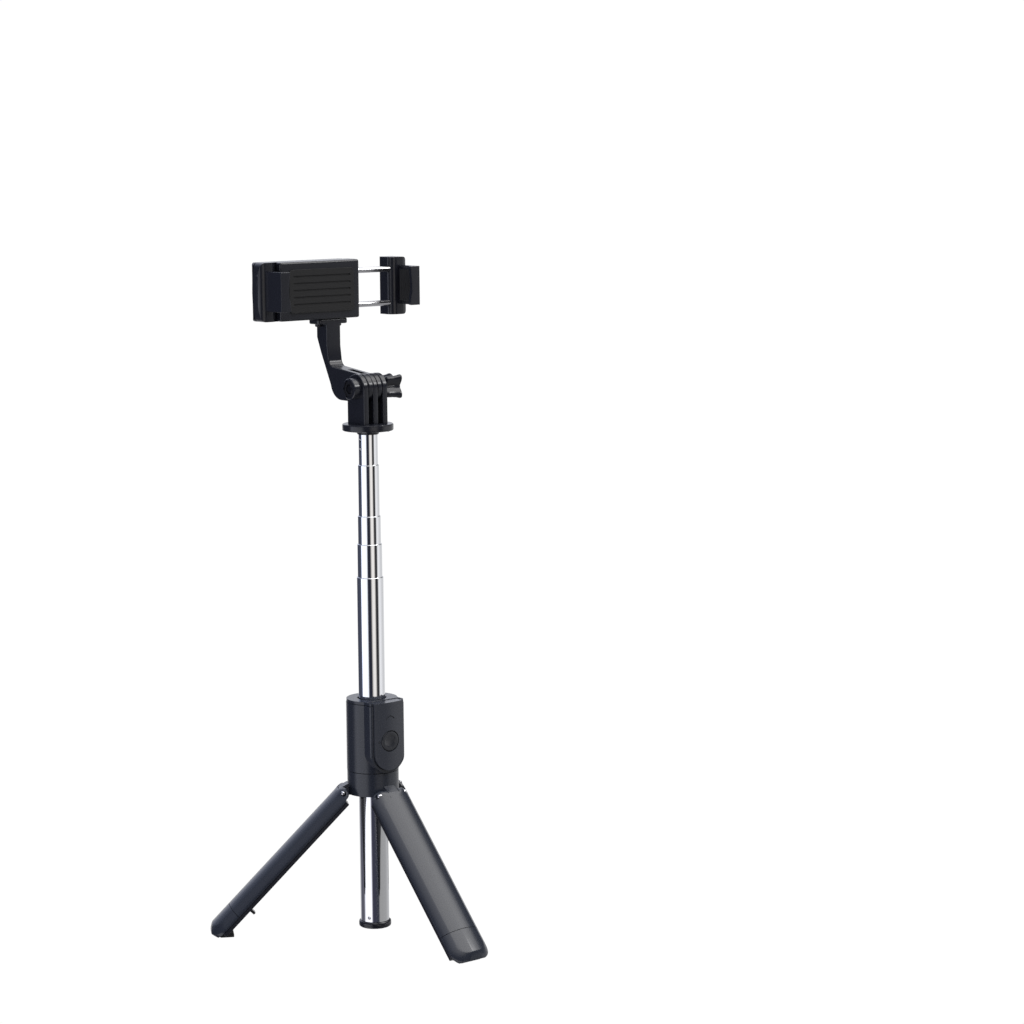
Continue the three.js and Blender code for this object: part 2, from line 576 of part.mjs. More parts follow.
function addFixedJaw() {
  const c = CLAMP;
  const housing = box(c.blockInner - 1, c.housingEnd, c.rest, c.split, c.bottom, c.top);
  const cavity = box(c.blockInner + 1.5, c.housingEnd - 1.5, c.rest + 1.8, c.split + 1, c.bottom + 2.2, c.top - 2.2);
  const screwPad = box(-9.5, 9.5, c.rest + 1, c.split, c.bottom + 1, c.bottom + 3.1);
  const [, [postX, postZ]] = COVER_SCREWS;
  const post = bar(2.3, 'y', c.rest + 1, c.split, [postX, 0, postZ], 16);
  const trimmedJaw = cut(jaw(), box(-60, 60, c.split, 60, 300, 380));
  const rodHoles = c.rodZs.map((z) => bar(c.rodRadius + 0.3, 'x', 0, 30, [0, c.rodY, z], 16));
  const threads = COVER_SCREWS.map(([x, z]) => bar(1.1, 'y', 31.5, 50, [x, 0, z], 12));
  const below = KNUCKLE_SCREWS.map((x) => bar(1.1, 'z', 300, c.bottom + 2.6, [x, 34, 0], 12));
  const shell = join(cut(join(trimmedJaw, housing), cavity), screwPad, post);
  add('fixed_jaw', cut(shell, ...rodHoles, ...threads, ...below), matteBlack);

  const coverBlank = common(
    slab(roundedRect(c.leftEnd, c.split - 9, c.housingEnd, c.back, c.corner), 'XY', c.bottom, c.top),
    slab(roundedRect(c.leftEnd, c.bottom, c.housingEnd, c.top, 3.4), 'XZ', c.split + FIT, c.back));
  const sinks = COVER_SCREWS.map(([x, z]) => bar(2.4, 'y', c.back - 1.3, c.back + 1, [x, 0, z], 16));
  const shanks = COVER_SCREWS.map(([x, z]) => bar(1.2, 'y', 30, 50, [x, 0, z], 12));
  add('clamp_cover', cut(coverBlank, ...sinks, ...shanks), matteBlack);
  COVER_SCREWS.forEach(([x, z], k) => {
    const head = bar(2.2, 'y', c.back - 1.2, c.back - 0.1, [x, 0, z], 16);
    const shank = bar(1.0, 'y', 32, c.back - 1, [x, 0, z], 12);
    add(`cover_screw_${k + 1}`, join(head, shank), darkSteel);
  });
  const inside = c.armOuter + c.armWall;
  add('fixed_jaw_pad', box(inside + 0.05, inside + c.padThickness, c.armFront + 2.8, c.blockFront - 1.5,
    c.armBottom + 2, c.armTop - 2), rubber);
  add('rest_pad', box(-29, 12, c.rest - 0.9, c.rest - 0.05, c.bottom + 4, c.top - 4), rubber);
}

function springCoil(z) {
  const c = CLAMP;
  const steps = c.springTurns * 9;
  const points = [];
  for (let k = 0; k <= steps; k += 1) {
    const angle = (2 * Math.PI * k) / 9;
    const x = c.springStart + ((c.springEnd - c.springStart - 1) * k) / steps + 0.5;
    points.push(new THREE.Vector3(x, c.rodY + c.springRadius * Math.cos(angle), z + c.springRadius * Math.sin(angle)));
  }
  const wire = new THREE.Shape();
  for (let k = 0; k < 6; k += 1) {
    const angle = (k * Math.PI) / 3;
    wire[k ? 'lineTo' : 'moveTo'](c.springWire * Math.cos(angle), c.springWire * Math.sin(angle));
  }
  const extrudePath = new THREE.CatmullRomCurve3(points);
  return new THREE.ExtrudeGeometry(wire, { steps, extrudePath, bevelEnabled: false });
}

function addSlidingJaw() {
  const c = CLAMP;
  const whole = mirrored(jaw()).translate(c.slideOffset, 0, 0);
  const blockInner = -c.blockInner + c.slideOffset;
  const trimmed = cut(whole, box(-60, 60, c.back, 70, 300, 380));
  const rodHoles = c.rodZs.map((z) => bar(c.rodRadius + FIT, 'x', 0, blockInner + 8, [0, c.rodY, z], 16));
  add('sliding_jaw', cut(trimmed, ...rodHoles), matteBlack);
  const inside = -(c.armOuter + c.armWall) + c.slideOffset;
  add('sliding_jaw_pad', box(inside - c.padThickness, inside - 0.05, c.armFront + 2.8, c.blockFront - 1.5,
    c.armBottom + 2, c.armTop - 2), rubber);
  c.rodZs.forEach((z, k) => {
    add(`guide_rod_${k + 1}`, bar(c.rodRadius, 'x', c.rodStart, blockInner + 7.8, [0, c.rodY, z], 16), steel);
    add(`clamp_spring_${k + 1}`, springCoil(z), steel);
  });
  const [low, high] = c.rodZs;
  const yokeEnd = c.rodStart - FIT;
  add('rod_yoke', box(yokeEnd - c.yokeWidth, yokeEnd, 32, 36, low - 2, high + 2), steel);
}

addPole();
addEndPlug();
addBody();
addRemote();
addLegs();
addHead();
addKnob();
addKnuckle();
addFixedJaw();
addSlidingJaw();

export default group;
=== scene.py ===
"""Looks of a selfie stick: telescopic pole, fold-out tripod, slide-out remote and phone clamp.

Lengths in the shape code are millimetres, in the part's own frame; each piece is scaled to metres when done.
"""

import json
import math

import bmesh
import bpy
from mathutils import Matrix, Vector


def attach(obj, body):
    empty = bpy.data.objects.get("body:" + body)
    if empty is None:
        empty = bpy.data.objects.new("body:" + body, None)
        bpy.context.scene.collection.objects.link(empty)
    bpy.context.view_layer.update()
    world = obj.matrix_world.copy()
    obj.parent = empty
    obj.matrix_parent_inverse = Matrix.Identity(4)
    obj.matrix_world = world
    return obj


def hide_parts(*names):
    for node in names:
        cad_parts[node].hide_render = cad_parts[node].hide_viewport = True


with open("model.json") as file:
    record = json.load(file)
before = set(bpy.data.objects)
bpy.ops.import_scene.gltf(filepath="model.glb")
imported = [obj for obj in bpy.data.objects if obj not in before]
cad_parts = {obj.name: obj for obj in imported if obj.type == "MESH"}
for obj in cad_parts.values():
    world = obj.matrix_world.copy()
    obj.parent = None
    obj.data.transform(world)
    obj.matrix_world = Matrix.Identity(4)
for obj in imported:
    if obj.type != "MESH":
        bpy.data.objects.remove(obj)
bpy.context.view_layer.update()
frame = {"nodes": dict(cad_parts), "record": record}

MM = 0.001
# Gap between two pieces that sit in each other, and a radius or height that counts as nothing.
FIT = 0.1
TINY = 1e-6

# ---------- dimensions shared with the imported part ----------

TUBE_WALL = 0.25
TUBE_RADII = [7.5, 7.0, 6.5, 6.0, 5.5, 5.0]
TUBE_TOPS = [121.4, 187.3, 204.7, 219.4, 246.1, 263.8]
TUBE_BOTTOM = 3.5
INNER_LENGTH = 112.0
PLUG_PIN_Z, PLUG_PIN_TURN = 5.8, -60
HEAD_PIN_ZS, HEAD_PIN_TURN = (259.4, 254.4), -90
BODY_RADIUS, BODY_BORE, BODY_BOTTOM, BODY_TOP = 13.6, 8.4, 85.2, 121.4
BOX_HALF, BOX_FRONT, BOX_CORNER = 11.0, -14.1, 1.6
CAP_BOTTOM, CAP_TOP, CAP_BORE = 121.6, 123.2, 7.65
HUB_RADIUS, HUB_BOTTOM, HUB_TOP = 13.5, 72.6, 84.9
REMOTE_HALF, REMOTE_TOP, REMOTE_ARC = 9.3, 122.9, 96.2
REMOTE_FRONT, REMOTE_BACK, REMOTE_SPLIT, REMOTE_CROWN = -16.0, -9.6, -12.3, 44.0
BUTTON_Z, BUTTON_RADIUS, BUTTON_HOLE, LED_X = 102.4, 5.25, 5.65, -6.7
PIN_RADIAL, PIN_Z, PIN_HOLE, OPEN_ANGLE = 16.6, 74.2, 1.35, 44.0
TONGUE_HALF, TONGUE_SLOT, TONGUE_NOSE = 3.2, 3.5, 2.1
LEG_TURNS = {"front": 0.0, "left": -120.0, "right": 120.0}
LEG_HALF, LEG_CREST, LEG_EDGE, LEG_RADIUS = 11.8, 8.4, 2.7, 19.2
KNUCKLE, LEG_SEAM, LEG_TIP, LEG_HEEL = 2.8, 84.0, 101.3, 99.0
CREST_LOW, CREST_HIGH, CREST_CORNER, TOE_CORNER, KNUCKLE_CORNER = -97.3, -2.2, 6.5, 8.0, 5.0
SHELL_INNER, LINER_OUTER, LINER_INNER, LINER_HALF, SHOULDER = 3.6, 3.8, 5.8, 11.6, 1.7
DISC_BOTTOM, DISC_TOP, DISC_RADIUS, HEAD_AXIS = 264.0, 267.6, 13.3, 286.0
PRONG_RADIUS, BOSS_RADIUS, BOSS_END = 7.5, 5.5, -11.9
SCREW_RADIUS, SCREW_BORE, SCREW_HOLE, SCREW_END = 2.4, 2.5, 2.6, 14.0
KNOB_START, KNOB_END = 9.0, 18.0
CLAMP_BOTTOM, CLAMP_TOP = 320.3, 350.8
BLOCK_FRONT, REST, SPLIT, CLAMP_BACK = 31.0, 27.6, 38.0, 41.0
LEFT_END, BLOCK_INNER, HOUSING_END = -44.6, -33.0, 16.0
ARM_OUTER, ARM_WALL, ARM_BOTTOM, ARM_TOP, ARM_FRONT = -41.2, 3.1, 325.9, 346.4, 16.5
LIP_WIDTH, LIP_THICK, PAD_THICK, SLIDE_OFFSET = 6.1, 2.1, 1.2, 6.1
ROD_ZS, ROD_Y, ROD_RADIUS, ROD_START = [326.5, 344.5], 34.0, 1.5, -7.6
COVER_SCREWS = [(-38.0, 335.5), (11.6, 335.5)]
KNUCKLE_SCREWS, KNUCKLE_SCREW_Y = [-6.2, 6.2], 34
# Stretches in X and in Z that go past the whole clamp, for the tools that cut straight across it.
CLAMP_WIDE, CLAMP_TALL = (-60, 60), (300, 380)

# ---------- mesh tools ----------

PLANES = {
    "XY": lambda u, v, w: (u, v, w),
    "YZ": lambda u, v, w: (w, u, v),
    "XZ": lambda u, v, w: (u, w, v),
}


def new_object(bm, name="shape"):
    bmesh.ops.recalc_face_normals(bm, faces=bm.faces)
    mesh = bpy.data.meshes.new(name)
    bm.to_mesh(mesh)
    bm.free()
    obj = bpy.data.objects.new(name, mesh)
    bpy.context.scene.collection.objects.link(obj)
    return obj


def bake(obj):
    """Applies the object's modifiers to its mesh."""
    graph = bpy.context.evaluated_depsgraph_get()
    mesh = bpy.data.meshes.new_from_object(obj.evaluated_get(graph))
    old = obj.data
    obj.modifiers.clear()
    obj.data = mesh
    bpy.data.meshes.remove(old)
    return obj


def prism(outline, plane, low, high):
    """A straight solid on an outline drawn in a plane."""
    bm = bmesh.new()
    place = PLANES[plane]
    ends = [[bm.verts.new(place(u, v, w)) for u, v in outline] for w in (low, high)]
    bm.faces.new(ends[0])
    bm.faces.new(ends[1])
    count = len(outline)
    for k in range(count):
        n = (k + 1) % count
        bm.faces.new((ends[0][k], ends[0][n], ends[1][n], ends[1][k]))
    return new_object(bm)


def lathe(profile, segments=96, ring=False, axis="Z", centre=(0.0, 0.0)):
    """A solid turned round an axis from (radius, height) points. A ring's profile closes on itself."""
    bm = bmesh.new()
    rows = []
    for radius, height in profile:
        if radius < TINY:
            rows.append([bm.verts.new((0, 0, height))])
            continue
        angles = [2 * math.pi * k / segments for k in range(segments)]
        rows.append([bm.verts.new((radius * math.cos(a), radius * math.sin(a), height)) for a in angles])
    pairs = list(zip(rows, rows[1:]))
    if ring:
        pairs.append((rows[-1], rows[0]))
    for low, high in pairs:
        for k in range(segments):
            n = (k + 1) % segments
            corners = [low[k % len(low)], low[n % len(low)], high[n % len(high)], high[k % len(high)]]
            unique = list(dict.fromkeys(corners))
            if len(unique) > 2:
                bm.faces.new(unique)
    obj = new_object(bm)
    if axis == "X":
        turn = Matrix.Rotation(math.pi / 2, 4, "Y")
        obj.data.transform(Matrix.Translation((0, centre[0], centre[1])) @ turn)
    if axis == "Y":
        turn = Matrix.Rotation(-math.pi / 2, 4, "X")
        obj.data.transform(Matrix.Translation((centre[0], 0, centre[1])) @ turn)
    if axis == "Z" and centre != (0.0, 0.0):
        obj.data.transform(Matrix.Translation((centre[0], centre[1], 0)))
    return obj


def rod(radius, low, high, axis="X", centre=(0.0, 0.0), chamfer=0.0, segments=48):
    c = chamfer
    if c:
        profile = [(0, low), (radius - c, low), (radius, low + c), (radius, high - c), (radius - c, high),
                   (0, high)]
    else:
        profile = [(0, low), (radius, low), (radius, high), (0, high)]
    return lathe(profile, segments, axis=axis, centre=centre)


def block(x0, x1, y0, y1, z0, z1):
    return prism([(x0, y0), (x1, y0), (x1, y1), (x0, y1)], "XY", z0, z1)


def arc(cx, cy, radius, start, stop, steps):
    """Points on an arc, its angles in degrees."""
    turn = [math.radians(start + (stop - start) * k / steps) for k in range(steps + 1)]
    return [(cx + radius * math.cos(a), cy + radius * math.sin(a)) for a in turn]


def rounded_rect(x0, y0, x1, y1, r, steps=8):
    return (
        arc(x1 - r, y0 + r, r, -90, 0, steps)
        + arc(x1 - r, y1 - r, r, 0, 90, steps)
        + arc(x0 + r, y1 - r, r, 90, 180, steps)
        + arc(x0 + r, y0 + r, r, 180, 270, steps)
    )


def boolean(obj, tool, operation):
    modifier = obj.modifiers.new("boolean", "BOOLEAN")
    modifier.operation = operation
    modifier.solver = "EXACT"
    modifier.object = tool
    bake(obj)
    bpy.data.objects.remove(tool)
    return obj


def cut(obj, *tools):
    for tool in tools:
        boolean(obj, tool, "DIFFERENCE")
    return obj


def join(obj, *others):
    for other in others:
        boolean(obj, other, "UNION")
    return obj


def common(obj, *others):
    for other in others:
        boolean(obj, other, "INTERSECT")
    return obj


def bevel(obj, width, segments=3, angle=28.0):
    clean(obj)
    modifier = obj.modifiers.new("bevel", "BEVEL")
    modifier.width = width
    modifier.segments = segments
    modifier.limit_method = "ANGLE"
    modifier.angle_limit = math.radians(angle)
    modifier.miter_outer = "MITER_ARC"
    return bake(obj)


def clean(obj):
    """Merges stray points and straightens out edges that a boolean has split."""
    bm = bmesh.new()
    bm.from_mesh(obj.data)
    bmesh.ops.remove_doubles(bm, verts=bm.verts, dist=0.002)
    bmesh.ops.dissolve_limit(bm, angle_limit=math.radians(0.4), verts=bm.verts, edges=bm.edges,
                             use_dissolve_boundaries=False)
    bm.to_mesh(obj.data)
    bm.free()
    return obj


def moved(obj, matrix):
    obj.data.transform(matrix)
    return obj


def spun(obj, degrees):
    return moved(obj, Matrix.Rotation(math.radians(degrees), 4, "Z"))


SHARP_ANGLE = 34.0


def piece(obj, name, material, body, nodes):
    """Turns a finished shape into a piece that rides on a body and stands for CAD nodes."""
    obj.name = name
    obj.data.name = name
    obj.data.transform(Matrix.Scale(MM, 4))
    obj.data.materials.clear()
    obj.data.materials.append(material)
    obj.data.shade_smooth()
    obj.data.set_sharp_from_angle(angle=math.radians(SHARP_ANGLE))
    modifier = obj.modifiers.new("normals", "WEIGHTED_NORMAL")
    modifier.keep_sharp = True
    bake(obj)
    obj.data.name = name
    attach(obj, body)
    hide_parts(*nodes)
    return obj


# ---------- materials ----------


IOR = 1.5


def make_material(name, color, roughness, metallic=0.0, grain=0.0, grain_scale=900.0, mottle=0.12,
                  rough_spread=0.06, stretch=(1.0, 1.0, 1.0), coat=0.0):
    """A moulded, turned or drawn surface: uneven gloss, slight mottling and a fine grain."""
    material = bpy.data.materials.new(name)
    material.use_nodes = True
    nodes, links = material.node_tree.nodes, material.node_tree.links
    shader = nodes["Principled BSDF"]
    shader.inputs["Base Color"].default_value = (*color, 1.0)
    shader.inputs["Roughness"].default_value = roughness
    shader.inputs["Metallic"].default_value = metallic
    shader.inputs["IOR"].default_value = IOR
    shader.inputs["Coat Weight"].default_value = coat
    coords = nodes.new("ShaderNodeTexCoord")
    mapping = nodes.new("ShaderNodeMapping")
    mapping.inputs["Scale"].default_value = stretch
    links.new(coords.outputs["Object"], mapping.inputs["Vector"])

    broad = nodes.new("ShaderNodeTexNoise")
    broad.inputs["Scale"].default_value = 90.0
    broad.inputs["Detail"].default_value = 5.0
    links.new(mapping.outputs["Vector"], broad.inputs["Vector"])
    tone = nodes.new("ShaderNodeMapRange")
    tone.inputs["To Min"].default_value = 1.0 - mottle
    tone.inputs["To Max"].default_value = 1.0 + mottle
    links.new(broad.outputs["Fac"], tone.inputs["Value"])
    shade = nodes.new("ShaderNodeVectorMath")
    shade.operation = "SCALE"
    shade.inputs[0].default_value = color
    links.new(tone.outputs["Result"], shade.inputs["Scale"])
    links.new(shade.outputs["Vector"], shader.inputs["Base Color"])

    fine = nodes.new("ShaderNodeTexNoise")
    fine.inputs["Scale"].default_value = grain_scale
    fine.inputs["Detail"].default_value = 3.0
    links.new(mapping.outputs["Vector"], fine.inputs["Vector"])
    gloss = nodes.new("ShaderNodeMapRange")
    gloss.inputs["To Min"].default_value = max(0.02, roughness - rough_spread)
    gloss.inputs["To Max"].default_value = roughness + rough_spread
    links.new(fine.outputs["Fac"], gloss.inputs["Value"])
    links.new(gloss.outputs["Result"], shader.inputs["Roughness"])

    if grain:
        bump = nodes.new("ShaderNodeBump")
        bump.inputs["Strength"].default_value = grain
        bump.inputs["Distance"].default_value = 0.0001
        links.new(fine.outputs["Fac"], bump.inputs["Height"])
        links.new(bump.outputs["Normal"], shader.inputs["Normal"])
    return material


LOOKS = {
    "chromed_tube": make_material("chrome", (0.83, 0.84, 0.86), 0.07, 1.0, mottle=0.02, rough_spread=0.02,
                                  stretch=(1.0, 1.0, 0.05)),
    "white_nylon": make_material("white_nylon", (0.78, 0.79, 0.8), 0.45, grain=0.05),
    "satin_black": make_material("satin_black", (0.021, 0.025, 0.036), 0.26, grain=0.06, grain_scale=1400.0),
    # The remote's black is a lighter copy of the satin black: painted light for the light that the remote's
    # front catches.
    "remote_lit_black": make_material("remote_lit_black", (0.036, 0.040, 0.052), 0.26, grain=0.05,
                                  grain_scale=1400.0),
    "remote_gloss": make_material("remote_gloss", (0.026, 0.028, 0.034), 0.22, grain=0.05,
                                  grain_scale=1400.0),
    "matte_black": make_material("matte_black", (0.013, 0.014, 0.020), 0.23, grain=0.08, grain_scale=1300.0),
    "dark_screw": make_material("dark_screw", (0.03, 0.03, 0.035), 0.30, 0.9, grain=0.05),
    "black_rubber": make_material("black_rubber", (0.010, 0.010, 0.011), 0.72, grain=0.25, grain_scale=700.0),
    "steel": make_material("steel", (0.60, 0.60, 0.62), 0.24, 1.0, grain=0.03, stretch=(1.0, 1.0, 0.2)),
    "black_steel": make_material("black_steel", (0.05, 0.05, 0.055), 0.36, 0.9, grain=0.05),
    "green_board": make_material("green_board", (0.02, 0.13, 0.05), 0.3, coat=0.4),
    "smoked_lens": make_material("smoked_lens", (0.004, 0.005, 0.010), 0.08, coat=0.6),
}


def shown(obj, name, look, body, *nodes):
    return piece(obj, name, LOOKS[look], body, nodes)


# ---------- the pole ----------


def tube_bottom(k):
    return TUBE_BOTTOM if k == 0 else TUBE_TOPS[k] - INNER_LENGTH


def tube(k):
    """A drawn tube whose mouth is rolled in towards the next section."""
    outer, top, low = TUBE_RADII[k], TUBE_TOPS[k], tube_bottom(k)
    inner = outer - TUBE_WALL
    mouth = TUBE_RADII[k + 1] + 0.07 if k + 1 < len(TUBE_RADII) else inner
    lip = 0.3
    roll = [(outer - lip + lip * math.cos(a), top - lip + lip * math.sin(a))
            for a in [math.pi / 2 * s / 6 for s in range(7)]]
    if k + 1 == len(TUBE_RADII):
        roll = [(outer, top - 0.05), (outer - 0.05, top)]
    else:
        roll.append((mouth, top - 0.05))
    profile = [(inner, low), (outer - 0.08, low), (outer, low + 0.08)] + roll
    profile += [(mouth, top - 0.4), (inner, top - 1.0)]
    return lathe(profile, 128, ring=True)


def pole():
    bodies = ["base", "section_2", "section_3", "section_4", "section_5", "top_section"]
    for k, body in enumerate(bodies):
        shape = tube(k)
        if k == 0:
            cut(shape, spun(rod(0.85, -12, -2, "Y", (0, PLUG_PIN_Z)), PLUG_PIN_TURN))
        if k == 5:
            for z in HEAD_PIN_ZS:
                cut(shape, spun(rod(1.0, -12, -2, "Y", (0, z)), HEAD_PIN_TURN))
        shown(shape, f"tube_{k + 1}_fine", "chromed_tube", body, f"tube_{k + 1}")


def dimple_pin(reach, z, turn):
    """A pressed-in pin with a dished head, along -Y before it is turned."""
    profile = [(0, -reach + 0.3), (0.45, -reach + 0.12), (0.62, -reach), (0.72, -reach + 0.1), (0.72, -3.2),
               (0, -3.2)]
    return spun(lathe(profile, 32, axis="Y", centre=(0, z)), turn)


def plug():
    rim = [(0, 0.0), (7.2, 0.0), (7.9, 0.12), (8.35, 0.45), (8.5, 0.95), (8.5, 2.5), (8.36, 3.0), (8.05, 3.3),
           (7.7, 3.4), (7.15, 3.4), (7.15, 10.5), (5.55, 10.5), (5.55, 8.4), (0, 8.4)]
    shape = lathe(rim, 96)
    groove = lathe([(8.38, 1.55), (9.0, 1.55), (9.0, 1.95), (8.38, 1.95)], 96, ring=True)
    cut(shape, groove, spun(rod(0.85, -12, -2, "Y", (0, PLUG_PIN_Z)), PLUG_PIN_TURN))
    shown(shape, "end_plug_fine", "matte_black", "base", "end_plug")
    pin = dimple_pin(7.6, PLUG_PIN_Z, PLUG_PIN_TURN)
    shown(pin, "end_plug_pin_fine", "steel", "base", "end_plug_pin")


# ---------- grip body and remote ----------


def remote_outline(margin, top, steps=28):
    half = REMOTE_HALF - margin
    return [(half, top), (-half, top)] + arc(0, REMOTE_ARC, half, 180, 360, steps)


def body_blank(low, high, trim=0.0):
    round_part = rod(BODY_RADIUS - trim, low, high, "Z", segments=128)
    half = BOX_HALF - trim
    front = prism(rounded_rect(-half, BOX_FRONT + trim, half, 0, BOX_CORNER, 5), "XY", low, high)
    return join(round_part, front)


def dock():
    return prism(remote_outline(-0.25, 200), "XZ", -30, REMOTE_BACK + 0.1)


def grip_body():
    shape = body_blank(BODY_BOTTOM, BODY_TOP)
    under = block(-30, 30, -30, -7.7, BODY_BOTTOM - 1, REMOTE_ARC)
    cut(under, rod(BOX_HALF, -31, 0, "Y", (0, REMOTE_ARC), segments=96),
        rod(BODY_RADIUS, BODY_BOTTOM - 2, REMOTE_ARC + 1, "Z", segments=128))
    cut(shape, under)
    bevel(shape, 0.7, 4, 24)
    low, high = BODY_BOTTOM - 1, BODY_TOP - 2.4
    core = lathe([(12.2, low), (12.2, high), (9.6, high), (9.6, low)], 96, ring=True)
    common(core, block(-20, 20, -1.5, 20, 0, 200))
    cut(shape, dock(), rod(BODY_BORE, 0, 200, "Z", segments=96), core)
    bevel(shape, 0.16, 2, 40)
    shown(shape, "body_shell_fine", "satin_black", "base", "body_shell")

    cap = body_blank(CAP_BOTTOM, CAP_TOP, 0.2)
    cut(cap, dock())
    bevel(cap, 0.4, 3, 40)
    cut(cap, rod(CAP_BORE, 0, 200, "Z", segments=96))
    bevel(cap, 0.12, 2, 50)
    shown(cap, "body_top_cap_fine", "satin_black", "base", "body_top_cap")


def chevron():
    """A plain arrow that shows which way the remote slides out."""
    wide, tall, stroke, z = 2.6, 1.5, 0.75, 116.2
    return [(-wide, z - tall), (0, z), (wide, z - tall), (wide, z - tall - stroke), (0, z - stroke),
            (-wide, z - tall - stroke)]


def remote():
    crown = rod(REMOTE_CROWN, 80, 130, "Z", (0, REMOTE_FRONT + REMOTE_CROWN), segments=320)
    shape = prism(remote_outline(0, REMOTE_TOP, 40), "XZ", REMOTE_FRONT - 0.2, REMOTE_SPLIT - FIT)
    common(shape, crown)
    bevel(shape, 0.55, 4, 40)
    cut(shape, prism(remote_outline(1.2, REMOTE_TOP - 1.2), "XZ", REMOTE_FRONT + 1.4, REMOTE_SPLIT + 1))
    cut(shape, rod(BUTTON_HOLE, -20, -14, "Y", (0, BUTTON_Z), segments=64),
        rod(0.6, -20, -14, "Y", (LED_X, BUTTON_Z), segments=24),
        prism(chevron(), "XZ", REMOTE_FRONT - 1, REMOTE_FRONT + 0.4))
    bevel(shape, 0.1, 2, 50)
    # The front shell gets the lighter copy of the black plastic, painted light for the light its face
    # catches.
    shown(shape, "remote_front_fine", "remote_lit_black", "remote", "remote_front_shell")

    f = REMOTE_FRONT
    profile = [(0, f + 0.42), (2.6, f + 0.40), (3.1, f + 0.30), (3.3, f + 0.18), (3.5, f + 0.12),
               (4.8, f + 0.12), (5.1, f + 0.2), (BUTTON_RADIUS, f + 0.4), (BUTTON_RADIUS, f + 1.65),
               (6.3, f + 1.65), (6.3, f + 2.05), (0, f + 2.05)]
    button = lathe(profile, 64, axis="Y", centre=(0, BUTTON_Z))
    shown(button, "remote_button_fine", "remote_gloss", "button", "remote_button")

    lens = [(0, -15.5), (0.25, -15.47), (0.42, -15.38), (0.5, -15.2), (0.5, -14.5), (0, -14.5)]
    shown(lathe(lens, 32, axis="Y", centre=(LED_X, BUTTON_Z)), "status_led_fine", "smoked_lens", "remote",
          "status_led")


# ---------- tripod ----------


def tongue():
    turn = math.degrees(0.75)
    outline = [(-10, HUB_BOTTOM + 5.6), (-(HUB_RADIUS + 0.4), HUB_BOTTOM + 5.4)]
    outline += arc(-PIN_RADIAL, PIN_Z, TONGUE_NOSE, 90 + turn, 270, 14)
    outline += [(-10, PIN_Z - TONGUE_NOSE)]
    return prism(outline, "YZ", -TONGUE_HALF, TONGUE_HALF)


def hub():
    profile = [(0, HUB_BOTTOM), (HUB_RADIUS, HUB_BOTTOM), (HUB_RADIUS, HUB_TOP), (0, HUB_TOP)]
    shape = lathe(profile, 128)
    join(shape, *[spun(tongue(), turn) for turn in LEG_TURNS.values()])
    cut(shape, rod(BODY_BORE, 60, 100, "Z", segments=96))
    bevel(shape, 0.45, 3, 30)
    cut(shape, *[spun(rod(PIN_HOLE, -12, 12, "X", (-PIN_RADIAL, PIN_Z), segments=32), turn)
                 for turn in LEG_TURNS.values()])
    shown(shape, "leg_hub_fine", "satin_black", "base", "leg_hub")


def curve(start, control, stop, steps=8):
    """Points on a quadratic curve."""
    return [tuple((1 - t) ** 2 * p + 2 * t * (1 - t) * q + t * t * r for p, q, r in zip(start, control, stop))
            for t in [k / steps for k in range(steps + 1)]]


def leg_section(inner, inset=0.0, steps=24):
    """A crowned front with sloping shoulders; an inset moves the outside in by that much."""
    radius, half = LEG_RADIUS - inset, LEG_HALF - inset
    crest, edge = LEG_CREST - inset / 2, LEG_EDGE + inset / 2
    side = math.degrees(math.asin(crest / radius))
    crown = arc(0, PIN_RADIAL, radius, 270 - side, 270 + side, steps)
    left = curve((-half, edge), (-half + 1.2, edge - 1.7), crown[0])
    right = curve(crown[-1], (half - 1.2, edge - 1.7), (half, edge))
    return [(-half, inner)] + left[:-1] + crown + right[1:] + [(half, inner)]


def crown_y(x):
    return PIN_RADIAL - math.sqrt(LEG_RADIUS ** 2 - x * x)


def panel_outline(half, low, high, low_corner, high_corner, steps=12):
    """A rounded oblong in X and Z, with how far each point faces towards an end instead of a side."""
    corners = [
        (half - low_corner, low + low_corner, low_corner, -90),
        (half - high_corner, high - high_corner, high_corner, 0),
        (-half + high_corner, high - high_corner, high_corner, 90),
        (-half + low_corner, low + low_corner, low_corner, 180),
    ]
    points = []
    for cx, cz, r, start in corners:
        for k, (x, z) in enumerate(arc(cx, cz, r, start, start + 90, steps)):
            points.append((x, z, math.sin(math.radians(start + 90 * k / steps)) ** 2))
    return points


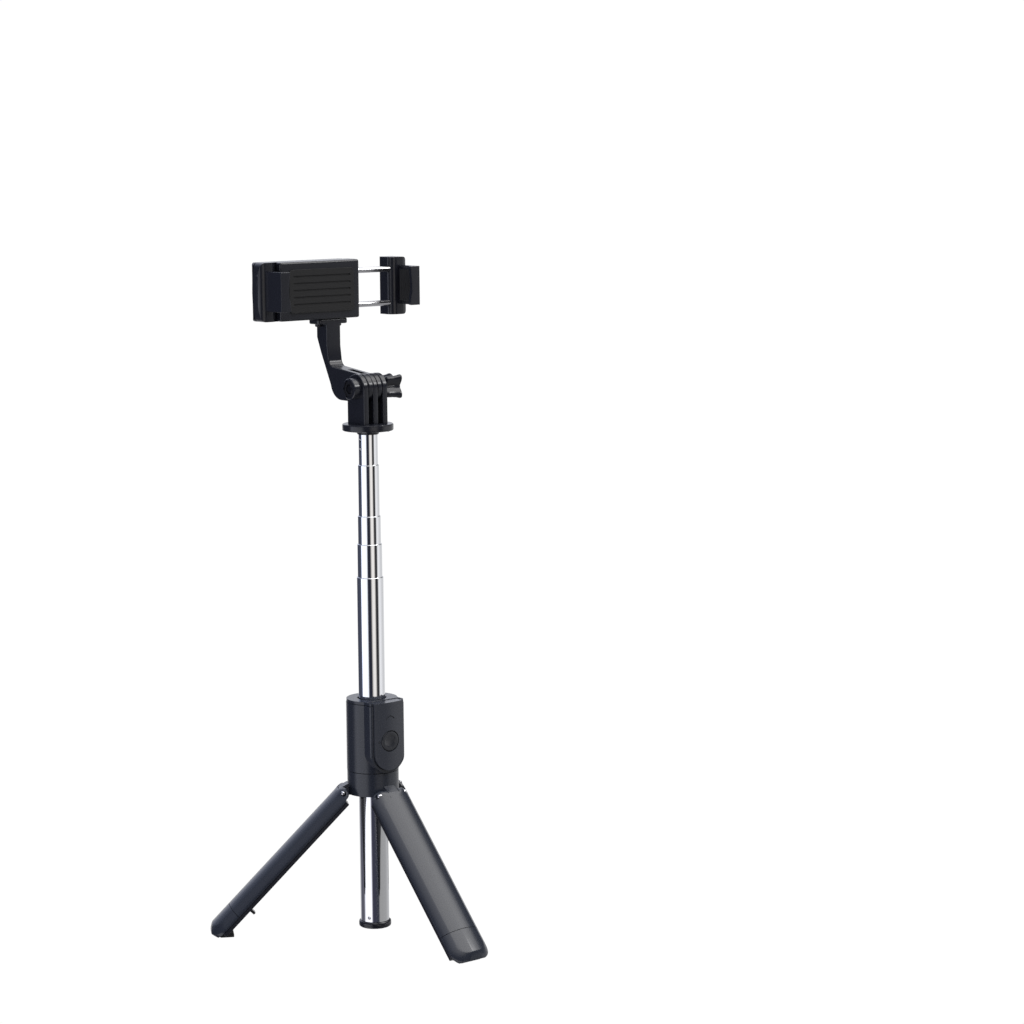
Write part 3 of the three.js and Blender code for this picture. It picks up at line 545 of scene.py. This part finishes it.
def leg_blank():
    """The leg's outside: a crowned panel with rounded ends whose shoulders slope away all round."""
    crest = panel_outline(LEG_CREST, CREST_LOW, CREST_HIGH, CREST_CORNER, CREST_CORNER)
    edge = panel_outline(LEG_HALF, -LEG_TIP, KNUCKLE, TOE_CORNER, KNUCKLE_CORNER)
    bm = bmesh.new()
    rings = [[bm.verts.new((x, 0, z)) for x, z, end in crest]]
    steps = 7
    for k in range(1, steps + 1):
        t = k / steps
        ring = []
        for (x0, z0, end), (x1, z1, _) in zip(crest, edge):
            # The shoulder is a quadratic curve; towards the knuckle it stays full before it drops.
            knuckle = end if z0 > -LEG_TIP / 2 else 0.0
            share = 2 * t * (1 - t) * (0.65 + 0.27 * knuckle) + t * t
            drop = 2 * t * (1 - t) * (0.49 - 0.42 * knuckle) + t * t
            start, stop = crown_y(x0), LEG_EDGE - (LEG_EDGE - 0.3) * end
            x, z = x0 + (x1 - x0) * share, z0 + (z1 - z0) * share
            ring.append(bm.verts.new((x, start + (stop - start) * drop, z)))
        rings.append(ring)
    rings.append([bm.verts.new((x, SHELL_INNER, z)) for x, z, end in edge])
    count = len(crest)
    for low, high in zip(rings, rings[1:]):
        for k in range(count):
            n = (k + 1) % count
            bm.faces.new((low[k], low[n], high[n], high[k]))
    bm.faces.new(rings[-1])
    bm.faces.new(rings[0])
    # The flat front is sliced into strips, and then each point is lifted onto the crown.
    for k in range(-8, 9):
        parts = [f for f in bm.faces if all(abs(v.co.y) < TINY for v in f.verts)]
        edges = list({e for f in parts for e in f.edges})
        corners = list({v for f in parts for v in f.verts})
        bmesh.ops.bisect_plane(bm, geom=parts + edges + corners, plane_co=(k, 0, 0), plane_no=(1, 0, 0))
    for vert in bm.verts:
        if abs(vert.co.y) < TINY:
            vert.co.y = crown_y(vert.co.x)
    return new_object(bm)


def leg_shell():
    shape = leg_blank()
    cut(shape, block(-20, 20, -10, 20, -LEG_TIP - 5, -LEG_SEAM))
    side = [(-6.0, -LEG_SEAM - 1), (-6.0, 0.0), (-KNUCKLE, 0.0)] + arc(0, 0, KNUCKLE, 180, 0, 24)[1:]
    side += [(KNUCKLE, -SHOULDER), (12, -SHOULDER), (12, -LEG_SEAM - 1)]
    common(shape, prism(side, "YZ", -20, 20))
    cut(shape, block(-TONGUE_SLOT, TONGUE_SLOT, -2.3, 12, -3.5, 8))
    bevel(shape, 0.22, 2, 38)
    channel = prism(leg_section(12, 1.4), "XY", -LEG_SEAM - 1, -9)
    cut(shape, channel, rod(PIN_HOLE, -12, 12, "X", segments=32))
    return shape


def leg_liner():
    length = 96.4
    shape = block(-LINER_HALF, LINER_HALF, LINER_OUTER, LINER_INNER, -length, -SHOULDER - 0.3)
    cut(shape, block(-TONGUE_SLOT, TONGUE_SLOT, -8, 12, -3.5, 8))
    bevel(shape, 0.35, 3, 30)
    spine = block(-6.6, 6.6, 3.0, LINER_OUTER + 0.5, -LEG_SEAM + 2, -12)
    tab = bevel(block(-2, 2, LINER_INNER - 0.5, 10.8, -79.6, -78.2), 0.3, 2)
    nub = bevel(block(-3, 3, LINER_INNER - 0.5, LINER_INNER + 0.9, -64.6, -63.2), 0.3, 2)
    return join(shape, spine, tab, nub)


def foot_cap():
    shape = leg_blank()
    slope = (LEG_TIP - LEG_HEEL) / (LINER_INNER - 0.4)
    heel = [(0.2, -LEG_TIP - 5), (8, -LEG_TIP - 5), (8, -LEG_TIP + 7.8 * slope), (0.2, -LEG_TIP)]
    cut(shape, block(-20, 20, -10, 20, -LEG_SEAM - 0.25, 20), prism(heel, "YZ", -20, 20))
    bevel(shape, 0.25, 2, 38)
    socket = prism(leg_section(12, 2.0), "XY", -LEG_SEAM - 11, -LEG_SEAM + 1)
    return cut(shape, socket)


def foot_pad():
    start, reach, sole = 5.2, 10.2, 99.4
    rise = (reach - start) * math.tan(math.radians(OPEN_ANGLE))
    outline = [(LINER_OUTER, -sole - 0.2), (start, -sole), (reach, -sole + rise),
               (reach - 1.1, -sole + rise + 1.2), (LINER_INNER + 0.1, -sole + 2.8),
               (LINER_OUTER, -sole + 2.8)]
    return bevel(prism(outline, "YZ", -6, 6), 0.3, 3, 25)


def legs():
    for name, turn in LEG_TURNS.items():
        place = (
            Matrix.Rotation(math.radians(turn), 4, "Z")
            @ Matrix.Translation((0, -PIN_RADIAL, PIN_Z))
            @ Matrix.Rotation(-math.radians(OPEN_ANGLE), 4, "X")
        )
        body = f"{name}_leg"
        shown(moved(leg_shell(), place), f"{name}_leg_shell_fine", "satin_black", body, f"{name}_leg_shell")
        shown(moved(leg_liner(), place), f"{name}_leg_liner_fine", "matte_black", body, f"{name}_leg_liner")
        shown(moved(foot_cap(), place), f"{name}_foot_cap_fine", "satin_black", body, f"{name}_foot_cap")
        shown(moved(foot_pad(), place), f"{name}_foot_pad_fine", "black_rubber", body, f"{name}_foot_pad")
        dome = [(0.0, 9.35), (0.5, 9.27), (0.9, 9.05), (1.15, 8.7), (1.25, 8.3)]
        pin = lathe([(r, -x) for r, x in dome] + dome[::-1], 48, axis="X")
        shown(moved(pin, place), f"{name}_leg_pin_fine", "steel", "base", f"{name}_leg_pin")


# ---------- tilting head ----------


def prong(x0, x1, bottom):
    r = PRONG_RADIUS
    outline = [(r, bottom)] + arc(0, HEAD_AXIS, r, 0, 180, 28) + [(-r, bottom)]
    return prism(outline, "YZ", x0, x1)


def hexagon(flats):
    reach = flats / 2 / math.cos(math.pi / 6)
    angles = [k * math.pi / 3 for k in range(6)]
    return [(reach * math.cos(a), HEAD_AXIS + reach * math.sin(a)) for a in angles]


def head():
    gap = TUBE_RADII[5] + FIT
    profile = [(0, 247), (4.65, 247), (4.65, DISC_BOTTOM + 0.1), (gap, DISC_BOTTOM + 0.1), (gap, 262),
               (5.4, 262), (5.8, 262.6), (6.1, 263.6), (6.1, DISC_BOTTOM), (12.7, DISC_BOTTOM),
               (13.1, DISC_BOTTOM + 0.18), (DISC_RADIUS, DISC_BOTTOM + 0.6), (DISC_RADIUS, DISC_TOP - 0.6),
               (13.1, DISC_TOP - 0.18),
               (12.7, DISC_TOP), (0, DISC_TOP)]
    shape = lathe(profile, 128)
    spans = ((-7.5, -4.55), (-1.45, 1.45), (4.55, 7.5))
    blocks = [bevel(prong(x0, x1, DISC_TOP - 1), 0.55, 4, 40) for x0, x1 in spans]
    boss = rod(BOSS_RADIUS, BOSS_END, -7.0, "X", (0, HEAD_AXIS), chamfer=0.35, segments=64)
    peg = rod(0.9, DISC_BOTTOM - 1.2, DISC_BOTTOM + 1, "Z", (10.2, -3.5), chamfer=0.25, segments=24)
    join(shape, *blocks, boss, peg)
    cut(shape, rod(SCREW_HOLE, -20, 20, "X", (0, HEAD_AXIS), segments=40),
        prism(hexagon(8.2), "YZ", BOSS_END - 1, BOSS_END + 3.7))
    for z in HEAD_PIN_ZS:
        cut(shape, spun(rod(0.8, -12, -2, "Y", (0, z), segments=24), HEAD_PIN_TURN))
    shown(shape, "head_base_fine", "matte_black", "top_section", "head_base")
    for k, z in enumerate(HEAD_PIN_ZS):
        pin = dimple_pin(5.05, z, HEAD_PIN_TURN)
        shown(pin, f"head_pin_{k + 1}_fine", "steel", "top_section", f"head_pin_{k + 1}")
    start = BOSS_END + 0.4
    nut = prism(hexagon(8.0), "YZ", start, start + 3.1)
    rounding = [(0, start), (4.1, start), (4.7, start + 0.45), (4.7, start + 3.2), (0, start + 3.2)]
    common(nut, lathe(rounding, 64, axis="X", centre=(0, HEAD_AXIS)))
    cut(nut, rod(SCREW_BORE, -20, 0, "X", (0, HEAD_AXIS), segments=40))
    shown(nut, "hex_nut_fine", "black_steel", "top_section", "hex_nut")


def knob_grip(start, stop):
    """Four-lobed grip along X that flares out to its end."""
    bm = bmesh.new()
    spokes = 96
    stations = [(0.0, 0.80), (0.04, 0.86), (0.2, 0.88), (0.45, 0.885), (0.7, 0.92), (0.88, 0.985),
                (0.95, 1.0), (0.985, 0.985), (1.0, 0.94)]
    rings = []
    for along, size in stations:
        x = start + (stop - start) * along
        ring = []
        for k in range(spokes):
            angle = 2 * math.pi * k / spokes
            swell = ((1 - math.cos(4 * angle)) / 2) ** 1.3
            reach = (4.3 + 3.85 * swell) * (size if swell > 0.02 else 0.5 + 0.5 * size)
            ring.append(bm.verts.new((x, reach * math.cos(angle), HEAD_AXIS + reach * math.sin(angle))))
        rings.append(ring)
    for low, high in zip(rings, rings[1:]):
        for k in range(spokes):
            n = (k + 1) % spokes
            bm.faces.new((low[k], low[n], high[n], high[k]))
    bm.faces.new(rings[0])
    bm.faces.new(rings[-1])
    return new_object(bm)


def knob():
    shape = knob_grip(KNOB_START, KNOB_END)
    join(shape, rod(4.2, 7.8, KNOB_START + 0.5, "X", (0, HEAD_AXIS), segments=64))
    cut(shape, rod(SCREW_BORE, 0, 14.2, "X", (0, HEAD_AXIS), segments=40))
    shown(shape, "thumb_knob_fine", "matte_black", "knob", "thumb_knob")
    screw = rod(SCREW_RADIUS, BOSS_END + 0.5, SCREW_END, "X", (0, HEAD_AXIS), chamfer=0.4)
    shown(screw, "clamp_screw_fine", "dark_screw", "knob", "clamp_screw")


# ---------- phone holder ----------


def holder_outline():
    r, z = PRONG_RADIUS, HEAD_AXIS
    outline = arc(0, z, r, 270, math.degrees(1.3), 24)
    outline += arc(24, z + 13.5, 4, math.degrees(-1.4), 0, 8)
    outline += [(29, CLAMP_BOTTOM - 14), (29, CLAMP_BOTTOM - FIT), (38.5, CLAMP_BOTTOM - FIT),
                (38.5, CLAMP_BOTTOM - 10), (35, CLAMP_BOTTOM - 18)]
    outline += arc(17.5, z - r + 9.5, 9.5, math.degrees(-0.2), -90, 16)
    return outline


def cross_screw(radius, head_height, shank, length, axis, centre, at, facing):
    """A pan-head screw with a cross recess; its head's outer face is at `at` and faces `facing`."""
    s = facing
    profile = [(0, at), (radius * 0.55, at - s * 0.05), (radius * 0.85, at - s * 0.22),
               (radius, at - s * 0.5), (radius, at - s * head_height), (shank, at - s * head_height),
               (shank, at - s * length), (0, at - s * length)]
    shape = lathe(profile, 48, axis=axis, centre=centre)
    depth = (at - s * 0.5, at + s)
    low, high = min(depth), max(depth)
    arm, half = radius * 0.62, radius * 0.13
    for u, v in ((arm, half), (half, arm)):
        corners = (centre[0] - u, centre[1] - v, centre[0] + u, centre[1] + v)
        cross = rounded_rect(*corners, half * 0.8, 3)
        cut(shape, prism(cross, "XY" if axis == "Z" else "XZ", low, high))
    return shape


def holder():
    arm = prism(holder_outline(), "YZ", -4.4, 4.4)
    flange = prism(rounded_rect(-9.5, 29, 9.5, 38.9, 2.0, 6), "XY", CLAMP_BOTTOM - 2.8, CLAMP_BOTTOM - FIT)
    join(arm, flange)
    bevel(arm, 0.7, 4, 30)
    cut(arm, block(-1.6, 1.6, -20, 15, HEAD_AXIS - 20, HEAD_AXIS + 20))
    bevel(arm, 0.2, 2, 50)
    cut(arm, rod(SCREW_HOLE, -20, 20, "X", (0, HEAD_AXIS), segments=40))
    cut(arm, *[rod(1.2, 300, 330, "Z", (x, KNUCKLE_SCREW_Y), segments=24) for x in KNUCKLE_SCREWS])
    shown(arm, "holder_arm_fine", "matte_black", "holder", "holder_arm")
    for k, x in enumerate(KNUCKLE_SCREWS):
        screw = cross_screw(1.8, 1.5, 1.0, 6.8, "Z", (x, KNUCKLE_SCREW_Y), CLAMP_BOTTOM - 4.4, -1)
        shown(screw, f"holder_screw_{k + 1}_fine", "black_steel", "holder", f"holder_screw_{k + 1}")


def lip_outline():
    """Front lip of a jaw: its free edge is hollowed, with a small step below the middle."""
    x0, x1 = ARM_OUTER, ARM_OUTER + LIP_WIDTH
    low, high = ARM_BOTTOM, ARM_TOP
    edge = []
    for k in range(13):
        share = k / 12
        hollow = 0.75 * math.sin(math.pi * share)
        step = 0.45 if share < 0.3 else 0.0
        edge.append((x1 - 0.3 - hollow + step, low + 0.3 + (high - low - 0.6) * share))
    return [(x0, high), (x0, low), (x1 - 0.5, low)] + edge + [(x1 - 0.7, high)]


def jaw():
    """The left jaw: a tall block, the arm that reaches forward from it, and the lip that holds the phone."""
    plan = rounded_rect(LEFT_END, BLOCK_FRONT, BLOCK_INNER, CLAMP_BACK + 8, 3.9, 10)
    shape = prism(plan, "XY", CLAMP_BOTTOM, CLAMP_TOP)
    front = []
    for k in range(13):
        share = k / 12
        bulge = 0.9 * (1 - (2 * share - 1) ** 2) - 0.9
        front.append((LEFT_END - bulge, CLAMP_BOTTOM + 2.8 + (CLAMP_TOP - CLAMP_BOTTOM - 5.6) * share))
    outline = [(BLOCK_INNER + 1, CLAMP_BOTTOM)] + [(BLOCK_INNER + 1, CLAMP_TOP)]
    outline += arc(LEFT_END + 3.7, CLAMP_TOP - 2.8, 2.8, 90, 180, 8)
    outline += front[::-1][1:-1]
    outline += arc(LEFT_END + 3.7, CLAMP_BOTTOM + 2.8, 2.8, 180, 270, 8)
    common(shape, prism(outline, "XZ", 0, 60))
    bevel(shape, 0.8, 4, 35)
    arm = block(ARM_OUTER, ARM_OUTER + ARM_WALL, ARM_FRONT, BLOCK_FRONT + 1, ARM_BOTTOM, ARM_TOP)
    lip = prism(lip_outline(), "XZ", ARM_FRONT, ARM_FRONT + LIP_THICK)
    bevel(join(arm, lip), 0.4, 3, 30)
    return join(shape, arm)


def ribbed_pad(y0, y1, z0, z1, x_back, x_face, ribs):
    """A rubber pad with upright ribs, drawn from above: its flat back is at x_back."""
    toward = 1 if x_face > x_back else -1
    depth = 0.45
    face = []
    for k in range(ribs):
        pitch = (y1 - y0 - 0.8) / ribs
        base = y0 + 0.4 + k * pitch
        for t in range(7):
            lift = depth * math.sin(math.pi * t / 6) if t not in (0, 6) else 0.0
            face.append((x_face - toward * (depth - lift), base + pitch * t / 6))
    seen, clean_face = set(), []
    for point in face:
        key = (round(point[0], 4), round(point[1], 4))
        if key not in seen:
            seen.add(key)
            clean_face.append(point)
    outline = [(x_back, y0)] + clean_face + [(x_back, y1)]
    return prism(outline, "XY", z0, z1)


def fixed_side():
    shape = jaw()
    cut(shape, block(*CLAMP_WIDE, SPLIT, 60, *CLAMP_TALL))
    housing = block(BLOCK_INNER - 1, HOUSING_END, REST, SPLIT, CLAMP_BOTTOM, CLAMP_TOP)
    bevel(housing, 1.1, 4, 40)
    cut(housing, block(*CLAMP_WIDE, SPLIT - 0.6, 60, *CLAMP_TALL))
    join(housing, block(BLOCK_INNER - 1, HOUSING_END - 0.02, REST + 4, SPLIT, CLAMP_BOTTOM + 0.02,
                        CLAMP_TOP - 0.02))
    join(shape, housing)
    cavity = block(BLOCK_INNER + 1.5, HOUSING_END - 1.5, REST + 1.8, SPLIT + 1, CLAMP_BOTTOM + 2.2,
                   CLAMP_TOP - 2.2)
    cut(shape, cavity)
    post_x, post_z = COVER_SCREWS[1]
    join(shape, block(-9.5, 9.5, REST + 1, SPLIT, CLAMP_BOTTOM + 1, CLAMP_BOTTOM + 3.1),
         rod(2.3, REST + 1, SPLIT, "Y", (post_x, post_z), segments=32))
    cut(shape, *[rod(ROD_RADIUS + 0.3, 0, 30, "X", (ROD_Y, z), segments=40) for z in ROD_ZS])
    cut(shape, *[rod(1.1, 31.5, 50, "Y", (x, z), segments=24) for x, z in COVER_SCREWS])
    cut(shape, *[rod(1.1, 300, CLAMP_BOTTOM + 2.6, "Z", (x, KNUCKLE_SCREW_Y), segments=24)
                 for x in KNUCKLE_SCREWS])
    shown(shape, "fixed_jaw_fine", "matte_black", "holder", "fixed_jaw")

    plan = rounded_rect(LEFT_END + 0.3, SPLIT - 9, HOUSING_END, CLAMP_BACK, 3.9, 10)
    cover = prism(plan, "XY", CLAMP_BOTTOM, CLAMP_TOP)
    common(cover, prism(rounded_rect(LEFT_END + 0.3, CLAMP_BOTTOM, HOUSING_END, CLAMP_TOP, 3.2, 8), "XZ",
                        SPLIT + FIT, CLAMP_BACK))
    bevel(cover, 0.7, 4, 35)
    cut(cover, *[rod(2.4, CLAMP_BACK - 1.3, CLAMP_BACK + 1, "Y", c, segments=40) for c in COVER_SCREWS])
    cut(cover, *[rod(1.2, 30, 50, "Y", c, segments=24) for c in COVER_SCREWS])
    shown(cover, "clamp_cover_fine", "matte_black", "holder", "clamp_cover")
    for k, centre in enumerate(COVER_SCREWS):
        screw = cross_screw(2.2, 1.1, 1.0, 8.9, "Y", centre, CLAMP_BACK - 0.1, 1)
        shown(screw, f"cover_screw_{k + 1}_fine", "black_steel", "holder", f"cover_screw_{k + 1}")

    inside = ARM_OUTER + ARM_WALL
    pad = ribbed_pad(ARM_FRONT + 2.8, BLOCK_FRONT - 1.5, ARM_BOTTOM + 2, ARM_TOP - 2, inside + 0.05,
                     inside + PAD_THICK, 6)
    shown(pad, "fixed_jaw_pad_fine", "black_rubber", "holder", "fixed_jaw_pad")
    rest = bevel(prism(rounded_rect(-29, CLAMP_BOTTOM + 4, 12, CLAMP_TOP - 4, 2.2, 8), "XZ", REST - 0.9,
                       REST - 0.05), 0.25, 2, 40)
    for k in range(5):
        z = CLAMP_BOTTOM + 8 + k * 3.6
        cut(rest, prism(rounded_rect(-26.5, z, 9.5, z + 0.9, 0.44, 4), "XZ", REST - 2, REST - 0.55))
    shown(rest, "rest_pad_fine", "black_rubber", "holder", "rest_pad")


def sliding_side():
    shape = moved(jaw(), Matrix.Translation((SLIDE_OFFSET, 0, 0)) @ Matrix.Scale(-1, 4, (1, 0, 0)))
    bm = bmesh.new()
    bm.from_mesh(shape.data)
    bmesh.ops.reverse_faces(bm, faces=bm.faces)
    bm.to_mesh(shape.data)
    bm.free()
    cut(shape, block(*CLAMP_WIDE, CLAMP_BACK, 70, *CLAMP_TALL))
    bevel(shape, 0.5, 3, 60)
    inner = -BLOCK_INNER + SLIDE_OFFSET
    cut(shape, *[rod(ROD_RADIUS + FIT, 0, inner + 8, "X", (ROD_Y, z), segments=40) for z in ROD_ZS])
    shown(shape, "sliding_jaw_fine", "matte_black", "slider", "sliding_jaw")
    inside = -(ARM_OUTER + ARM_WALL) + SLIDE_OFFSET
    pad = ribbed_pad(ARM_FRONT + 2.8, BLOCK_FRONT - 1.5, ARM_BOTTOM + 2, ARM_TOP - 2, inside - 0.05,
                     inside - PAD_THICK, 6)
    shown(pad, "sliding_jaw_pad_fine", "black_rubber", "slider", "sliding_jaw_pad")
    for k, z in enumerate(ROD_ZS):
        shape = rod(ROD_RADIUS, ROD_START, inner + 7.8, "X", (ROD_Y, z), chamfer=0.3)
        shown(shape, f"guide_rod_{k + 1}_fine", "steel", "slider", f"guide_rod_{k + 1}")


def carried_over():
    """CAD nodes that stay as they are, out of sight inside the others, get the fine materials."""
    slots = {row["node"]: row["material_slot"] for row in frame["record"]["subparts"]}
    for name, node in frame["nodes"].items():
        if node.hide_render:
            continue
        node.data.materials.clear()
        node.data.materials.append(LOOKS[slots[name]])


pole()
plug()
grip_body()
remote()
hub()
legs()
head()
knob()
holder()
fixed_side()
sliding_side()
carried_over()

# ---------- camera and studio ----------

CAMERA_AZIMUTH = math.radians(-35.975)
CAMERA_DISTANCE, CAMERA_HEIGHT, CAMERA_LENS = 1.4654, 0.4257, 99.98
PITCH, YAW, ROLL = math.radians(7.976), math.radians(2.904), math.radians(-0.447)


def add_camera():
    """The picture's viewpoint: round the stick from its front, a little above it and tilted down."""
    data = bpy.data.cameras.new("camera")
    data.lens = CAMERA_LENS
    data.sensor_width = 36.0
    data.clip_end = 50.0
    camera = bpy.data.objects.new("camera", data)
    ahead = Vector((-math.sin(CAMERA_AZIMUTH), math.cos(CAMERA_AZIMUTH), 0))
    ahead = Matrix.Rotation(-YAW, 3, "Z") @ ahead
    right = Vector((ahead.y, -ahead.x, 0))
    forward = Vector((ahead.x * math.cos(PITCH), ahead.y * math.cos(PITCH), -math.sin(PITCH)))
    up = right.cross(forward)
    x_axis = right * math.cos(ROLL) + up * math.sin(ROLL)
    y_axis = up * math.cos(ROLL) - right * math.sin(ROLL)
    turn = Matrix((x_axis, y_axis, -forward)).transposed().to_4x4()
    east, south = math.sin(CAMERA_AZIMUTH) * CAMERA_DISTANCE, math.cos(CAMERA_AZIMUTH) * CAMERA_DISTANCE
    place = (east, -south, CAMERA_HEIGHT)
    camera.matrix_world = Matrix.Translation(place) @ turn
    bpy.context.scene.collection.objects.link(camera)
    bpy.context.scene.camera = camera


# Light that comes from round the stick, by angle from the camera; positive is to the camera's right.
# One ring of it lies a little below level, one below that, one above level and one overhead.
BELOW = [
    (-180, (0.55, 0.55, 0.58)), (-142, (0.50, 0.50, 0.53)), (-134, (0.10, 0.10, 0.13)),
    (-94, (0.13, 0.13, 0.16)), (-80, (1.2, 1.2, 1.28)), (-28, (1.3, 1.3, 1.38)),
    (-16, (0.05, 0.05, 0.08)), (32, (0.04, 0.045, 0.06)), (42, (0.36, 0.36, 0.36)),
    (100, (0.38, 0.38, 0.385)), (140, (0.55, 0.55, 0.56)), (180, (0.55, 0.55, 0.58)),
]
LEVEL = [
    (-180, (1.0, 1.0, 1.0)), (-155, (1.0, 1.0, 1.0)), (-148, (0.05, 0.055, 0.08)),
    (-88, (0.07, 0.08, 0.12)), (-77, (1.7, 1.8, 2.1)), (-66, (1.3, 1.35, 1.5)),
    (-28, (1.15, 1.18, 1.25)), (-19, (0.025, 0.028, 0.045)), (5, (0.02, 0.022, 0.035)),
    (12, (0.50, 0.48, 0.46)), (19, (0.98, 0.94, 0.90)), (38, (0.98, 0.94, 0.90)),
    (46, (0.20, 0.19, 0.18)), (53, (0.02, 0.02, 0.025)), (67, (0.03, 0.03, 0.035)),
    (76, (0.8, 0.8, 0.8)), (83, (1.0, 1.0, 1.02)), (125, (0.65, 0.65, 0.66)),
    (150, (0.8, 0.8, 0.81)), (180, (1.0, 1.0, 1.0)),
]
ABOVE = [
    (-180, (0.95, 0.97, 1.05)), (-150, (0.85, 0.9, 1.1)), (-128, (0.35, 0.40, 0.55)),
    (-112, (0.05, 0.06, 0.09)), (-60, (0.10, 0.11, 0.16)), (0, (0.04, 0.045, 0.06)),
    (148, (0.03, 0.03, 0.035)), (165, (0.95, 0.95, 1.0)), (180, (0.95, 0.97, 1.05)),
]
OVERHEAD = [
    (-180, (0.9, 0.95, 1.1)), (-90, (0.7, 0.75, 0.9)), (-20, (1.6, 1.6, 1.7)),
    (30, (3.6, 3.55, 3.5)), (110, (3.6, 3.55, 3.5)), (150, (1.2, 1.2, 1.2)),
    (180, (0.9, 0.95, 1.1)),
]
# Heights at which one ring gives way to the next, as the sine of the elevation.
RING_EDGES = [(-0.232, -0.224), (0.02, 0.07), (0.50, 0.72)]


def add_world():
    """Lights the stick with the four rings, blended from one to the next by height."""
    world = bpy.data.worlds.new("studio")
    world.use_nodes = True
    bpy.context.scene.world = world
    nodes, links = world.node_tree.nodes, world.node_tree.links
    coords = nodes.new("ShaderNodeTexCoord")
    turn = nodes.new("ShaderNodeVectorRotate")
    turn.rotation_type = "Z_AXIS"
    turn.inputs["Angle"].default_value = -CAMERA_AZIMUTH
    links.new(coords.outputs["Generated"], turn.inputs["Vector"])
    split = nodes.new("ShaderNodeSeparateXYZ")
    links.new(turn.outputs["Vector"], split.inputs["Vector"])
    toward = nodes.new("ShaderNodeMath")
    toward.operation = "MULTIPLY"
    toward.inputs[1].default_value = -1.0
    links.new(split.outputs["Y"], toward.inputs[0])
    angle = nodes.new("ShaderNodeMath")
    angle.operation = "ARCTAN2"
    links.new(split.outputs["X"], angle.inputs[0])
    links.new(toward.outputs["Value"], angle.inputs[1])
    share = nodes.new("ShaderNodeMapRange")
    share.inputs["From Min"].default_value = -math.pi
    share.inputs["From Max"].default_value = math.pi
    links.new(angle.outputs["Value"], share.inputs["Value"])
    rings = [ramp_node(nodes, [((a + 180) / 360, c) for a, c in ring])
             for ring in (BELOW, LEVEL, ABOVE, OVERHEAD)]
    for ring in rings:
        links.new(share.outputs["Result"], ring.inputs["Fac"])
    color = rings[0].outputs["Color"]
    for ring, (start, stop) in zip(rings[1:], RING_EDGES):
        rise = nodes.new("ShaderNodeMapRange")
        rise.inputs["From Min"].default_value = start
        rise.inputs["From Max"].default_value = stop
        links.new(split.outputs["Z"], rise.inputs["Value"])
        mix = nodes.new("ShaderNodeMix")
        mix.data_type = "RGBA"
        links.new(rise.outputs["Result"], mix.inputs["Factor"])
        links.new(color, mix.inputs["A"])
        links.new(ring.outputs["Color"], mix.inputs["B"])
        color = mix.outputs["Result"]
    links.new(color, nodes["Background"].inputs["Color"])


def ramp_node(nodes, stops):
    ramp = nodes.new("ShaderNodeValToRGB")
    elements = ramp.color_ramp.elements
    elements[0].position, elements[0].color = stops[0][0], (*stops[0][1], 1)
    elements[1].position, elements[1].color = stops[-1][0], (*stops[-1][1], 1)
    for position, color in stops[1:-1]:
        element = elements.new(position)
        element.color = (*color, 1)
    return ramp


# The pale floor lies below the feet of the folded legs, which reach under those of the open ones.
FLOOR_HEIGHT, FLOOR_RADIUS = -0.06, 6.0
COVE_RADIUS, BACKDROP_GLOW = 12.0, 1.02


def camera_only(bm, name, material):
    """A stage piece that the camera sees and that neither lights nor shades the stick."""
    obj = new_object(bm, name)
    obj.data.materials.append(material)
    for flag in ("visible_diffuse", "visible_glossy", "visible_transmission", "visible_shadow",
                 "visible_volume_scatter"):
        setattr(obj, flag, False)


def add_backdrop():
    """A plain white cove all round and a pale floor."""
    material = bpy.data.materials.new("white_cove")
    material.use_nodes = True
    nodes, links = material.node_tree.nodes, material.node_tree.links
    nodes.clear()
    glow = nodes.new("ShaderNodeEmission")
    glow.inputs["Color"].default_value = (1.0, 1.0, 1.0, 1.0)
    glow.inputs["Strength"].default_value = BACKDROP_GLOW
    output = nodes.new("ShaderNodeOutputMaterial")
    links.new(glow.outputs["Emission"], output.inputs["Surface"])

    bm = bmesh.new()
    bmesh.ops.create_uvsphere(bm, u_segments=48, v_segments=24, radius=COVE_RADIUS)
    camera_only(bm, "white_cove", material)
    bm = bmesh.new()
    bmesh.ops.create_circle(bm, cap_ends=True, segments=96, radius=FLOOR_RADIUS,
                            matrix=Matrix.Translation((0, 0, FLOOR_HEIGHT)))
    camera_only(bm, "pale_floor", material)


def add_lamp(azimuth, elevation, distance, size, power):
    """A square softbox aimed at the head of the stick; its azimuth is measured from the camera."""
    turn = math.radians(azimuth)
    toward = Vector((math.sin(CAMERA_AZIMUTH + turn), -math.cos(CAMERA_AZIMUTH + turn), 0))
    rise = math.radians(elevation)
    direction = toward * math.cos(rise) + Vector((0, 0, math.sin(rise)))
    data = bpy.data.lights.new("softbox", "AREA")
    data.size = size
    data.energy = power
    lamp = bpy.data.objects.new("softbox", data)
    lamp.location = Vector((0, 0, HEAD_AXIS * MM)) + direction * distance
    lamp.rotation_euler = direction.to_track_quat("Z", "Y").to_euler()
    bpy.context.scene.collection.objects.link(lamp)


add_camera()
add_world()
add_lamp(azimuth=78, elevation=30, distance=1.2, size=0.22, power=2.0)
add_backdrop()
view = bpy.context.scene.view_settings
view.view_transform = "Standard"
view.look = "None"
view.exposure = 0.0
